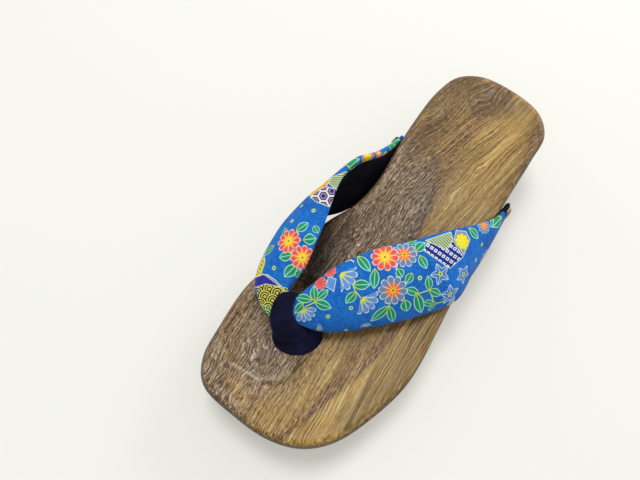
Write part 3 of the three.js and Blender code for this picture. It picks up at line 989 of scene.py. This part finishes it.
def drawSquares(pad, given):
    reach = pad.most(*[abs((beat(pad, given[axis], pitch) - 0.5) * pitch)
                       for axis, pitch in motifForm["squarePitches"]])
    return [((reach < motifForm["squareOuter"]) * (reach > motifForm["squareInner"]), given["mark"])]


def drawLattice(pad, given):
    x, y = [abs(beat(pad, given[axis], motifForm["latticePitch"]) - 0.5) for axis in "XY"]
    reach = x + y
    heart = (reach < motifForm["latticeHeart"], printTones["latticeHeart"])
    return [(reach < motifForm["latticeMark"], given["mark"]), heart]


def drawHexagons(pad, given):
    form, reaches = motifForm, []
    for shift in (0.0, 0.5):
        x = abs(beat(pad, given["X"] / form["hexagonPitch"] + shift) - 0.5)
        row = given["Y"] / (form["hexagonPitch"] * form["hexagonTall"]) + shift
        y = abs((beat(pad, row) - 0.5) * form["hexagonTall"])
        reaches.append(pad.most(x, x * form["hexagonSlope"][0] + y * form["hexagonSlope"][1]))
    reach = pad.least(*reaches)
    ring = (reach > form["hexagonRing"][0]) * (reach < form["hexagonRing"][1])
    return [(ring, printTones["hexagonRing"]), (reach > form["hexagonEdge"], given["mark"])]


def drawWaves(pad, given):
    form, pitch, wide = motifForm, motifForm["wavePitch"], motifForm["waveWide"]
    row = pad.math("FLOOR", given["Y"] / pitch)
    x = (beat(pad, row * form["waveShift"] + given["X"], wide) - 0.5) * wide
    y = beat(pad, given["Y"], pitch) * pitch
    return [(beat(pad, polar(pad, x, y)[0], form["waveLine"]) < form["waveShare"], given["mark"])]


def drawSpecks(pad, given):
    a, b, c = [pad.math("SINE", given["X"] * u + given["Y"] * v) for u, v in motifForm["speckWaves"]]
    return [(a + b + c > motifForm["speckLevel"], given["mark"])]


placeInputs = {"X": "Float", "Y": "Float"}
shownOutputs = {"Colour": "Color", "Shown": "Float"}
flowerInputs = {**placeInputs, "spread": "Float"}
for name, value in flowerKinds["red"].items():
    flowerInputs[name] = "Color" if isinstance(value, str) else "Float"
patchInputs = {**placeInputs, "Z": "Float", "fill": "Color", "border": "Color"}
for i in range(motifForm["corners"]):
    patchInputs.update({"%s %d" % (name, i): "Float" for name in ("run", "rise", "rest")})


def fillGroup(name, drawMarks):
    def draw(pad, given):
        colour = given["field"]
        for marked, tone in drawMarks(pad, given):
            colour = pad.mix(marked, colour, tone)
        return [colour]
    inputs = {**placeInputs, "field": "Color", "mark": "Color"}
    return nodeGroup(name + "Fill", inputs, {"Colour": "Color"}, draw)


motifs = {name: nodeGroup(name + "Motif", inputs, shownOutputs, draw) for name, inputs, draw in (
    ("leaf", placeInputs, drawLeaf), ("stroke", {**placeInputs, "Tone": "Color"}, drawStroke),
    ("flower", flowerInputs, drawFlower), ("star", placeInputs, drawStar),
    ("ring", placeInputs, drawRing), ("patch", patchInputs, drawPatch))}
fillGroups = {name: fillGroup(name, drawMarks) for name, drawMarks in (
    ("stripes", drawStripes), ("squares", drawSquares), ("hexagons", drawHexagons),
    ("waves", drawWaves), ("specks", drawSpecks), ("lattice", drawLattice))}
patchFills = {
    "greenStripe": ("stripes", "6c8a66", "cadca4"), "navySquare": ("squares", "1d2c86", "e8eef6"),
    "plainSlate": ("specks", "8499ad", "7d92a8"), "hexagon": ("hexagons", "332b62", "e6e6d2"),
    "wave": ("waves", "14160f", "e4df63"), "yellow": ("specks", "e8d82c", "4a4410"),
    "orange": ("lattice", "f0b23c", "e2583a"), "violet": ("specks", "302f9e", "2a2b8c"),
    "sky": ("specks", "5d97dd", "6aa2e2"), "pink": ("stripes", "ef9a93", "3a2433"),
    "greenWave": ("waves", "14663e", "b8dc8a"),
}

printChart = {  # read off the photograph in its pixels; radii and half widths in millimetres
    "outer": {
        "patches": namedRows("corners fill", [
            (((424.5, 251), (450, 269), (464, 257), (454, 241), (425, 243)), "navySquare"),
            (((425, 240.5), (451, 231.5), (453.5, 240), (447, 250)), "greenStripe"),
            (((454, 239.5), (456, 230), (466, 231), (470.5, 239.5), (464, 255.5)), "plainSlate"),
            (((328.5, 276), (336.5, 279), (334, 292), (325.5, 286.5)), "sky"),
        ]),
        "strokes": namedRows("start end wide tone", [
            ((315, 302), (303, 308), 0.3, "lime"), ((355.5, 292), (353, 285), 0.3, "lime"),
            ((361, 298), (356, 292), 0.3, "lime"), ((389, 306), (392, 298), 0.3, "lime"),
            ((418.5, 293.5), (429.5, 290), 0.3, "lime"), ((434, 304), (430, 291), 0.3, "lime"),
            ((445, 301), (434, 304), 0.3, "lime"), ((398, 262), (396, 270), 0.25, "cream"),
            ((345, 262), (350, 258), 0.3, "cream"), ((350, 258), (354, 262), 0.3, "cream"),
        ]),
        "leaves": namedRows("base tip wide", [
            ((315, 302), (331, 308), 2.0), ((315, 301), (314, 286), 1.7), ((317, 299), (328, 290), 1.6),
            ((312, 300), (296, 297), 1.8), ((303, 303), (295, 313), 1.5),
            ((353, 285), (370, 284.5), 2.0), ((356, 292), (346, 303), 1.8),
            ((357, 254), (370, 271), 2.0), ((375, 269), (374, 288.5), 1.9),
            ((397.5, 269), (402.5, 277), 1.8), ((412, 273), (406.5, 283.5), 1.7),
            ((418.5, 293.5), (406, 289), 1.8), ((416, 293), (421, 312.5), 2.2),
            ((429.5, 290), (428, 276), 1.7), ((429.5, 290), (440.5, 295), 1.8),
            ((434, 304), (423, 302), 1.6), ((434, 304), (428.5, 311), 1.2),
            ((434, 304), (436, 312), 1.2), ((434, 304), (443, 310), 1.2), ((389, 306), (371, 321), 2.0),
            ((389, 306), (393, 321.5), 1.8), ((404.5, 300), (407, 311), 2.2),
            ((415.5, 251), (424.5, 242.5), 2.0), ((419.5, 255.5), (426.5, 268.5), 1.8),
            ((407.5, 243), (416.5, 241), 1.4), ((469, 228), (478, 238.5), 1.8),
            ((496, 219), (491, 227), 1.8), ((501.5, 217), (493, 226), 2.6),
            ((444, 299), (452, 305), 1.3),
        ]),
        "flowers": namedRows("at toward radius kind spread", [
            ((302.5, 309), (308, 317), 6.8, "pale", 72), ((339.5, 273.5), (350, 280), 8.8, "pale", 54),
            ((361, 298), (370, 305), 8.6, "pale", 62), ((330, 271.5), (336, 268), 3.3, "coral", 180),
            ((320.5, 283), (326, 281), 3.4, "coral", 180),
            ((404.5, 254.5), (412, 254), 6.4, "slate", 180), ((385, 257), (395, 258), 7.0, "red", 180),
            ((393, 290.5), (400, 291), 7.3, "slate", 180), ((484, 226), (489, 226), 4.0, "slate", 180),
            ((462.5, 241.5), (467, 241), 4.3, "yellow", 180), ((317, 328), (324, 329), 2.8, "pale", 90),
            ((366, 326.5), (366, 322), 2.8, "pale", 90),
        ]),
        "stars": namedRows("at toward radius", [
            ((440.5, 274), (437, 265), 5.8), ((463.5, 274.5), (467, 266), 5.2),
            ((450, 294.5), (450, 284), 5.8),
        ]),
        "rings": namedRows("at radius", [
            ((351, 308), 1.3), ((328, 316.5), 1.3), ((420, 278), 1.4), ((482, 244.5), 1.2),
            ((476, 260), 1.2), ((346, 330), 1.1),
        ]),
    },
    "inner": {
        "patches": namedRows("corners fill", [
            (((264.5, 254.5), (265.5, 262), (260.5, 276), (250, 279), (250, 258)), "yellow"),
            (((252, 286), (255, 277), (264, 274), (281, 287), (262, 290)), "violet"),
            (((256, 301), (274, 303), (274, 317), (262, 316)), "greenWave"),
            (((254, 287), (266, 283.5), (287, 288), (290, 296), (272, 308), (256, 304)), "wave"),
            (((306, 195), (328, 176), (331, 179), (326, 187), (311, 196)), "orange"),
            (((308, 196), (325, 186), (338.5, 189), (329.5, 207), (316, 202)), "hexagon"),
            (((328, 183), (331, 177), (347, 171), (348, 174), (338, 191)), "greenStripe"),
        ]),
        "strokes": namedRows("start end wide tone", [
            ((262, 274), (269, 275.5), 0.25, "cream"), ((268, 275.5), (275, 280), 0.25, "cream"),
            ((274.5, 279.5), (281, 286), 0.25, "cream"), ((280.5, 285.5), (285.5, 292), 0.25, "cream"),
        ]),
        "leaves": namedRows("base tip wide", [
            ((296.5, 231), (308, 223), 2.0), ((284.5, 236), (285, 228), 1.3),
            ((303.5, 240), (316, 238.5), 2.3), ((314, 226), (318, 233), 1.5),
            ((292, 255), (279.5, 257.5), 2.1), ((296.5, 265), (284.5, 276.5), 2.3),
            ((274, 246), (264, 255), 1.9), ((301, 270.5), (298, 279), 1.8),
            ((349, 168), (359, 159), 2.6), ((390, 151), (394, 143), 1.8), ((394, 148), (399, 139), 1.6),
        ]),
        "flowers": namedRows("at toward radius kind spread", [
            ((288.5, 241), (296, 240), 6.5, "red", 180), ((302.5, 257.5), (308, 257), 6.2, "red", 180),
            ((368, 157.5), (372, 156), 4.8, "amber", 180), ((379, 153.5), (382, 153), 2.6, "red", 180),
            ((385, 156), (388, 155), 2.8, "yellow", 180),
        ]),
        "stars": [],
        "rings": namedRows("at radius", [
            ((274, 268), 1.4), ((313.5, 210.5), 1.4), ((292, 221), 1.3), ((301.5, 206), 1.2),
        ]),
    },
}


unseenChart = {  # share along the arm and across it, size in millimetres, turn in degrees
    "outer": namedRows("along across size kind turn", [
        (0.69, 0.82, 5.0, "leaf", 35), (0.78, 0.85, 4.2, "leaf", -35), (0.745, 0.62, 5.4, "slate", 0),
        (0.83, 0.4, 4.2, "red", 0), (0.87, 0.75, 3.4, "leaf", 20), (0.8, 0.1, 1.2, "ring", 0),
        (0.63, 0.93, 1.2, "ring", 0), (0.55, 0.96, 5.0, "pale", 200),
    ]),
    "inner": namedRows("along across size kind turn", [
        (0.6, 0.62, 7.5, "greenStripe", 10), (0.53, 0.7, 7.5, "hexagon", 0), (0.625, -0.05, 8.5, "pink", 70),
        (0.555, 0.3, 7.5, "orange", 20), (0.43, 0.76, 5.4, "red", 0), (0.39, 0.9, 5.0, "leaf", 150),
        (0.475, 0.9, 4.6, "leaf", 30), (0.7, 0.55, 5.4, "leaf", 60), (0.78, -0.35, 5.0, "leaf", -50),
        (0.79, 0.5, 5.0, "leaf", 10), (0.735, 0.12, 6.6, "slate", 0), (0.685, -0.5, 4.4, "yellow", 0),
        (0.83, 0.2, 4.8, "star", 15), (0.69, 0.9, 4.6, "red", 0), (0.87, -0.25, 4.2, "leaf", 20),
        (0.89, 0.5, 3.8, "leaf", -30), (0.5, 0.25, 1.3, "ring", 0), (0.65, 0.9, 1.2, "ring", 0),
        (0.85, 0.85, 1.2, "ring", 0), (0.76, 0.85, 1.3, "ring", 0),
    ]),
}


cottonLook = {  # scale, detail and roughness of a noise; width of a pair of threads in millimetres
    "cloud": (60.0, 3.0, 0.6), "fleck": (700.0, 2.0, 0.5), "shade": (0.75, 1.25), "rough": 0.82,
    "specular": 0.15, "sheen": 0.05, "sheenRough": 0.5, "thread": 0.55, "bump": 0.25, "bumpHeight": 0.00006,
}


def planeOn(normal, along):
    x = (along - normal * along.dot(normal)).normalized()
    return Matrix((x, normal.cross(x), normal)).transposed()


def flowerTones(kind, spread):
    tones = {"spread": math.radians(spread) + motifForm["spreadOver"]}
    for name, value in flowerKinds[kind].items():
        tones[name] = srgb(value) if isinstance(value, str) else value
    return tones


class ClothPrint:  # lays motifs over the ground colour of one arm
    def __init__(self, pad, arm):
        self.pad, self.arm, self.tree, self.here = pad, arm, armTrees[arm.name], pad.here()
        shade = pad.noise(self.here, *cottonLook["cloud"]) + pad.noise(self.here, *cottonLook["fleck"])
        ground = pad.share(shade, *cottonLook["shade"])
        self.colour = pad.mix(ground, printTones["cobaltDeep"], printTones["cobalt"])

    def touch(self, pixel):  # where a pixel's line of sight meets the cloth
        ray = pixelRay(pixel)
        spot, normal, _, _ = self.tree.ray_cast(cameraPlace, ray)
        if spot is None:
            middle = self.tree.find_nearest(cameraPlace + ray * cameraView["strapDistance"])[0]
            near = cameraPlace + ray * (middle - cameraPlace).dot(ray)
            spot, normal, _, _ = self.tree.find_nearest(near)
        return spot, normal

    def local(self, spot, axes, scale):
        return {name: self.pad.vector("DOT_PRODUCT", self.here, axis / size) - spot.dot(axis) / size
                for name, axis, size in zip("XYZ", axes.col, scale)}

    def addMotif(self, kind, inputs):
        made = self.pad.node("ShaderNodeGroup", inputs, node_tree=motifs[kind])
        self.colour = self.pad.mix(made.outputs["Shown"], self.colour, made.outputs["Colour"])

    def addPatch(self, spot, axes, corners, fill):
        local = self.local(spot, axes, (mm, mm, motifForm["depth"] * mm))
        pattern, field, mark = patchFills[fill]
        tones = {"X": local["X"], "Y": local["Y"], "field": srgb(field), "mark": srgb(mark)}
        filled = self.pad.wire("ShaderNodeGroup", tones, node_tree=fillGroups[pattern])
        inputs = {**local, "fill": filled, "border": printTones["cream"]}
        for i in range(motifForm["corners"]):
            inputs["rest %d" % i] = motifForm["farSide"]
        sides = list(zip(corners, corners[1:] + corners[:1]))
        turn = math.copysign(1, sum(a.cross(b) for a, b in sides))
        for i, (a, b) in enumerate(sides):
            inward = Vector((a.y - b.y, b.x - a.x)).normalized() * turn
            inputs.update({"run %d" % i: inward.x, "rise %d" % i: inward.y, "rest %d" % i: -inward.dot(a)})
        self.addMotif("patch", inputs)

    def addSeenPatch(self, row):  # square to the line of sight, no deeper than the padding
        corners = [Vector(corner) for corner in row["corners"]]
        middle = sum(corners, Vector((0, 0))) / len(corners)
        spot, facing = self.touch(middle)[0], -pixelRay(middle)
        rays = [pixelRay(corner) for corner in corners]
        reached = [cameraPlace + ray * (spot - cameraPlace).dot(facing) / ray.dot(facing) for ray in rays]
        axes = planeOn(facing, reached[1] - reached[0])
        flat = [(axes.transposed() @ (point - spot)).to_2d() / mm for point in reached]
        self.addPatch(spot, axes, flat, row["fill"])

    def addUnseen(self, row):  # motifs round the side that the picture doesn't show
        along, across, kind, size = row["along"], row["across"], row["kind"], row["size"]
        cosine = math.copysign(abs(across) ** (1 / strapForm["fullness"]), across)
        spot = inFrame(self.arm.point(self.arm.section(along), along, math.acos(cosine)))
        spot, normal, _, _ = self.tree.find_nearest(spot)
        run = self.arm.middle(along + strapForm["runStep"]) - self.arm.middle(along - strapForm["runStep"])
        axes = planeOn(normal, run) @ Matrix.Rotation(math.radians(row["turn"]), 3, "Z")
        if kind in patchFills:
            turns = [math.radians(turn) for turn in motifForm["unseenCorners"]]
            corners = [Vector((math.cos(turn), math.sin(turn))) * size for turn in turns]
            self.addPatch(spot, axes, corners, kind)
        elif kind in flowerKinds:
            tones = flowerTones(kind, motifForm["unseenPale"] if kind == "pale" else 180)
            self.addMotif("flower", {**self.local(spot, axes, (size * mm, size * mm)), **tones})
        else:
            slim = motifForm["unseenLeaf"] if kind == "leaf" else 1
            self.addMotif(kind, self.local(spot, axes, (size * mm, size * mm * slim)))

    def addLong(self, kind, start, end, wide, tones):  # a leaf or a stroke between two pixels
        start, end = self.touch(start)[0], self.touch(end)[0]
        middle, normal, _, _ = self.tree.find_nearest((start + end) / 2)
        reach = (end - start).length / 2 * (motifForm["leafReach"] if kind == "leaf" else 1)
        local = self.local(middle, planeOn(normal, end - start), (reach, wide * mm))
        self.addMotif(kind, {**local, **tones})

    def addRound(self, kind, row, tones):
        spot, normal = self.touch(row["at"])
        toward = self.touch(row["toward"])[0] - spot if "toward" in row else Vector(motifForm["ringToward"])
        local = self.local(spot, planeOn(normal, toward), (row["radius"] * mm, row["radius"] * mm))
        self.addMotif(kind, {**local, **tones})


def printedCotton(name):
    look = cottonLook
    material, pad, shader = newFinish("printedCotton_" + name, {
        "Roughness": look["rough"], "Specular IOR Level": look["specular"],
        "Sheen Weight": look["sheen"], "Sheen Roughness": look["sheenRough"]})
    cloth, chart = ClothPrint(pad, arms[name]), printChart[name]
    for row in chart["patches"]:
        cloth.addSeenPatch(row)
    for row in unseenChart[name]:
        cloth.addUnseen(row)
    for row in chart["strokes"]:
        cloth.addLong("stroke", row["start"], row["end"], row["wide"], {"Tone": printTones[row["tone"]]})
    for row in chart["leaves"]:
        cloth.addLong("leaf", row["base"], row["tip"], row["wide"] * motifForm["leafSpread"], {})
    for row in chart["flowers"]:
        cloth.addRound("flower", row, flowerTones(row["kind"], row["spread"]))
    for row in chart["stars"]:
        cloth.addRound("star", row, {})
    for row in chart["rings"]:
        cloth.addRound("ring", row, {})
    pad.plug(shader.inputs["Base Color"], cloth.colour)
    threads = pad.node("ShaderNodeSeparateXYZ", {"Vector": pad.wire("ShaderNodeUVMap", uv_map="cloth")})
    warp, weft = [pad.math("SINE", Wire(pad, threads.outputs[axis]) * (2 * math.pi / look["thread"]))
                  for axis in "XY"]
    addBump(pad, shader, warp * weft, look["bump"], look["bumpHeight"])
    return material


velvetLook = {  # name, tone and sheen of each cloth
    "lining": ("navyLining", "1c1b26", 0.08), "band": ("navyVelvet", "1b1c3a", 0.42),
    "pile": (900.0, 3.0, 0.7), "brush": (120.0, 2.0, 0.5), "brushSpan": (0.3, 0.7), "deep": 0.4,
    "rough": 0.92, "specular": 0.1, "sheenRough": 0.35, "sheenTint": "5a5c86",
    "bump": 0.5, "bumpHeight": 0.0002,
}


def velvetCloth(cloth):
    look = velvetLook
    name, tone, nap = look[cloth]
    material, pad, shader = newFinish(name, {
        "Roughness": look["rough"], "Specular IOR Level": look["specular"], "Sheen Weight": nap,
        "Sheen Roughness": look["sheenRough"], "Sheen Tint": srgb(look["sheenTint"])})
    here = pad.here()
    brushed = pad.span(pad.noise(here, *look["brush"]), *look["brushSpan"])
    deep = tuple(c * look["deep"] for c in srgb(tone)[:3]) + (1.0,)
    pad.plug(shader.inputs["Base Color"], pad.mix(brushed, deep, srgb(tone)))
    addBump(pad, shader, pad.noise(here, *look["pile"]), look["bump"], look["bumpHeight"])
    return material


def makeStraps():
    finishes = [printedCotton("outer"), printedCotton("inner"), velvetCloth("lining")]
    outer = newPiece("strap_pair", armMeshes["outer"], finishes)
    inner = newPiece("arm", armMeshes["inner"], finishes)
    combine(outer, [inner], "UNION")
    combine(outer, [seatCutter(1), seatCutter(-1), shankCutter(1), shankCutter(-1)])
    smoothFaces(outer, strapForm["sharpEdge"])
    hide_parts("straps")
    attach(outer, "root")
    print("straps: %d faces" % len(outer.data.polygons))


makeStraps()


# Thong
bandRows = namedRows("centre wide thick", [
    ((-10.5, -71, 23), 13, 9), ((-12.5, -72.5, 30), 17, 9), ((-15.8, -72.3, 37), 15, 7),
    ((-19.4, -70.3, 43), 12, 4.8), ((-21.7, -66, 46.8), 10.8, 3.6), ((-22.5, -61.5, 47), 10, 3.2),
    ((-21.8, -59.8, 43.5), 9.5, 3.2), ((-19.5, -62.3, 38.5), 9.5, 3.4), ((-15, -66.5, 32.5), 10, 4.5),
    ((-11, -70, 25), 10, 6),
])
thongForm = {
    "turn": 39.0, "padRadius": 10.8, "padStretch": 1.28, "padHeight": 7.0, "padSunk": 3.0,
    "padSide": 0.7, "padTop": 0.8, "knotRadius": 8.5, "knotHeight": 5.0, "stemRadius": 4.7, "gap": 0.3,
    "along": 120, "around": 56, "domeSides": 64, "domeRings": 32,
    "voxel": 0.5, "smooths": 14, "smoothShare": 0.5, "nap": 0.14, "napSize": 2.6, "sharpEdge": 50,
}
thongFolds = namedRows("start end wide deep", [  # creases of the velvet, in the tables' millimetres
    ((-21, -70, 43), (-15, -75, 35), 1.4, 0.7), ((-17, -68, 43), (-9, -73.5, 33), 1.2, 0.5),
    ((-17.5, -76, 32), (-7, -79, 28), 1.3, 0.5),
])


def bandMesh():
    turn = math.radians(thongForm["turn"])
    across = Vector((math.cos(turn), math.sin(turn), 0))
    rows = [{"rear": Vector(row["centre"]) - across * row["wide"] / 2,
             "front": Vector(row["centre"]) + across * row["wide"] / 2,
             "crown": 0.0, "thick": row["thick"]} for row in bandRows]
    band = Arm("band", rows, 1)
    bm = bmesh.new()
    bmesh.ops.create_grid(bm, x_segments=thongForm["along"], y_segments=thongForm["around"], size=0.5)
    for v in bm.verts:
        share, angle = v.co.x + 0.5, 2 * math.pi * (v.co.y + 0.5)
        v.co = band.plainPoint(band.section(share), angle)
    closeTube(bm, 1e-5)
    return bm


def domeMesh(bm, radius, low, high, stretch=1.0, side=0.5, top=0.5):  # a rounded cushion about the hole
    form = thongForm
    made = bmesh.ops.create_uvsphere(bm, u_segments=form["domeSides"], v_segments=form["domeRings"],
                                     radius=1)["verts"]
    turn = Matrix.Rotation(math.radians(form["turn"]), 3, "Z")
    for v in made:
        flat = math.hypot(v.co.x, v.co.y)
        reach = radius * flat ** (2 * side) / max(flat, 1e-6)
        level = math.copysign(abs(v.co.z) ** (2 * top), v.co.z)
        rise = high * level if level > 0 else low * -level
        v.co = turn @ Vector((v.co.x * reach * stretch, v.co.y * reach, rise))
    return made


def makeThong():
    form = thongForm
    bed = footbedHeight(*soleForm["hole"])
    hole = Vector((*soleForm["hole"], 0))
    bm = bandMesh()
    pad = domeMesh(bm, form["padRadius"], -form["padSunk"], form["padHeight"], form["padStretch"],
                   form["padSide"], form["padTop"])
    bmesh.ops.translate(bm, verts=pad, vec=hole + Vector((0, 0, bed)))
    bmesh.ops.recalc_face_normals(bm, faces=bm.faces)
    for v in bm.verts:
        v.co = inFrame(v.co)
    cover = newPiece("thong_cover", bm, [velvetCloth("band")])
    weld = cover.modifiers.new("weld", "REMESH")
    weld.mode = "VOXEL"
    weld.voxel_size = form["voxel"] * mm
    applyModifiers(cover)
    bm = bmesh.new()
    bm.from_mesh(cover.data)
    for _ in range(form["smooths"]):
        bmesh.ops.smooth_vert(bm, verts=bm.verts, factor=form["smoothShare"],
                              use_axis_x=True, use_axis_y=True, use_axis_z=True)
    bm.normal_update()
    for v in bm.verts:
        at = v.co / mm - tableShift
        sink = form["nap"] * (1 + noise.noise(at / form["napSize"]))
        for fold in thongFolds:
            off = offLine(at, Vector(fold["start"]), Vector(fold["end"]))
            sink += fold["deep"] * math.exp(-(off / fold["wide"]) ** 2)
        at -= v.normal * sink
        at.z = max(at.z, footbedHeight(at.x, at.y) + form["gap"])
        v.co = inFrame(at)
    bm.to_mesh(cover.data)
    bm.free()
    combine(cover, [grownCopy("strap_pair", form["gap"])])
    atHole = Matrix.Translation(inFrame(hole))
    low, high = soleForm["pocketDepth"] / 2, bed + form["padHeight"] / 2
    stem = pegCutter("stem", form["stemRadius"], low, high, atHole)
    bm = bmesh.new()
    domeMesh(bm, form["knotRadius"] * mm, -form["knotHeight"] / 2 * mm, form["knotHeight"] / 2 * mm)
    bmesh.ops.translate(bm, verts=bm.verts, vec=inFrame(hole + Vector((0, 0, low))))
    knot = newPiece("knot", bm, [])
    combine(cover, [stem, knot], "UNION")
    keepLargest(cover)
    smoothFaces(cover, form["sharpEdge"])
    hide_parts("thong")
    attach(cover, "root")
    print("thong: %d faces" % len(cover.data.polygons))


makeThong()


# Tacks
steelLook = {"tone": "8a857c", "grain": (900.0, 3.0), "rough": (0.3, 0.7, 0.26, 0.5)}


def darkSteel():
    material, pad, shader = newFinish("darkSteel", {"Base Color": srgb(steelLook["tone"]), "Metallic": 1.0})
    grain = pad.noise(pad.here(), *steelLook["grain"])
    pad.plug(shader.inputs["Roughness"], pad.span(grain, *steelLook["rough"]))
    return material


def makeTack(name, node, side, finish):
    form = tackForm
    radius, height, lip = form["headRadius"], form["headHeight"], form["lip"]
    shank, length = form["shankRadius"], form["shankLength"]
    profile = [(0, -length), (shank, -length + form["pointLength"]), (shank, 0),
               (radius - form["edgeInset"], 0), (radius, form["edgeHeight"]), (radius, lip)]
    for turn in form["domeTurns"]:
        angle = math.radians(turn)
        profile.append((radius * math.cos(angle), lip + (height - lip) * math.sin(angle)))
    bm = bmesh.new()
    verts = [bm.verts.new((r * mm, 0, z * mm)) for r, z in profile]
    edges = [bm.edges.new(pair) for pair in zip(verts, verts[1:])]
    bmesh.ops.spin(bm, geom=verts + edges, cent=(0, 0, 0), axis=(0, 0, 1), angle=2 * math.pi,
                   steps=form["steps"], use_merge=True)
    bmesh.ops.remove_doubles(bm, verts=bm.verts, dist=1e-7)
    bmesh.ops.recalc_face_normals(bm, faces=bm.faces)
    bmesh.ops.transform(bm, verts=bm.verts, matrix=tackPlace(side))
    piece = newPiece(name, bm, [finish])
    smoothFaces(piece, form["sharpEdge"])
    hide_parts(node)
    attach(piece, "root")


tackFinish = darkSteel()
makeTack("tack_head_outer", "tack_outer", 1, tackFinish)
makeTack("tack_head_inner", "tack_inner", -1, tackFinish)
print("tacks: 2")


# Floor and light
studio = {"size": 4, "floor": "cfcfc9", "rough": 0.9, "glowTone": "f8f8f2", "glow": 0.28, "world": 0.55}
lamps = namedRows("name power size place", [
    ("ceiling", 18.0, 0.7, (-0.45, 0.35, 1.95)),
    ("window", 5.0, 0.4, (0.15, 1.25, 0.75)),
])


def makeStudio():
    bm = bmesh.new()
    bmesh.ops.create_grid(bm, x_segments=1, y_segments=1, size=studio["size"])
    material, _, _ = newFinish("paleFloor", {
        "Base Color": srgb(studio["floor"]), "Roughness": studio["rough"],
        "Emission Color": srgb(studio["glowTone"]), "Emission Strength": studio["glow"]})
    floor = newPiece("floor", bm, [material])
    world = bpy.data.worlds.new("room")
    world.use_nodes = True
    sky = world.node_tree.nodes["Background"]
    sky.inputs["Color"].default_value = (1.0, 1.0, 1.0, 1.0)
    sky.inputs["Strength"].default_value = studio["world"]
    scene.world = world
    for row in lamps:
        lamp = bpy.data.lights.new(row["name"], "AREA")
        lamp.size = row["size"]
        lamp.energy = row["power"]
        light = bpy.data.objects.new(row["name"], lamp)
        light.location = row["place"]
        light.rotation_euler = (-Vector(row["place"])).to_track_quat("-Z", "Y").to_euler()
        scene.collection.objects.link(light)


makeStudio()
print("studio: set")
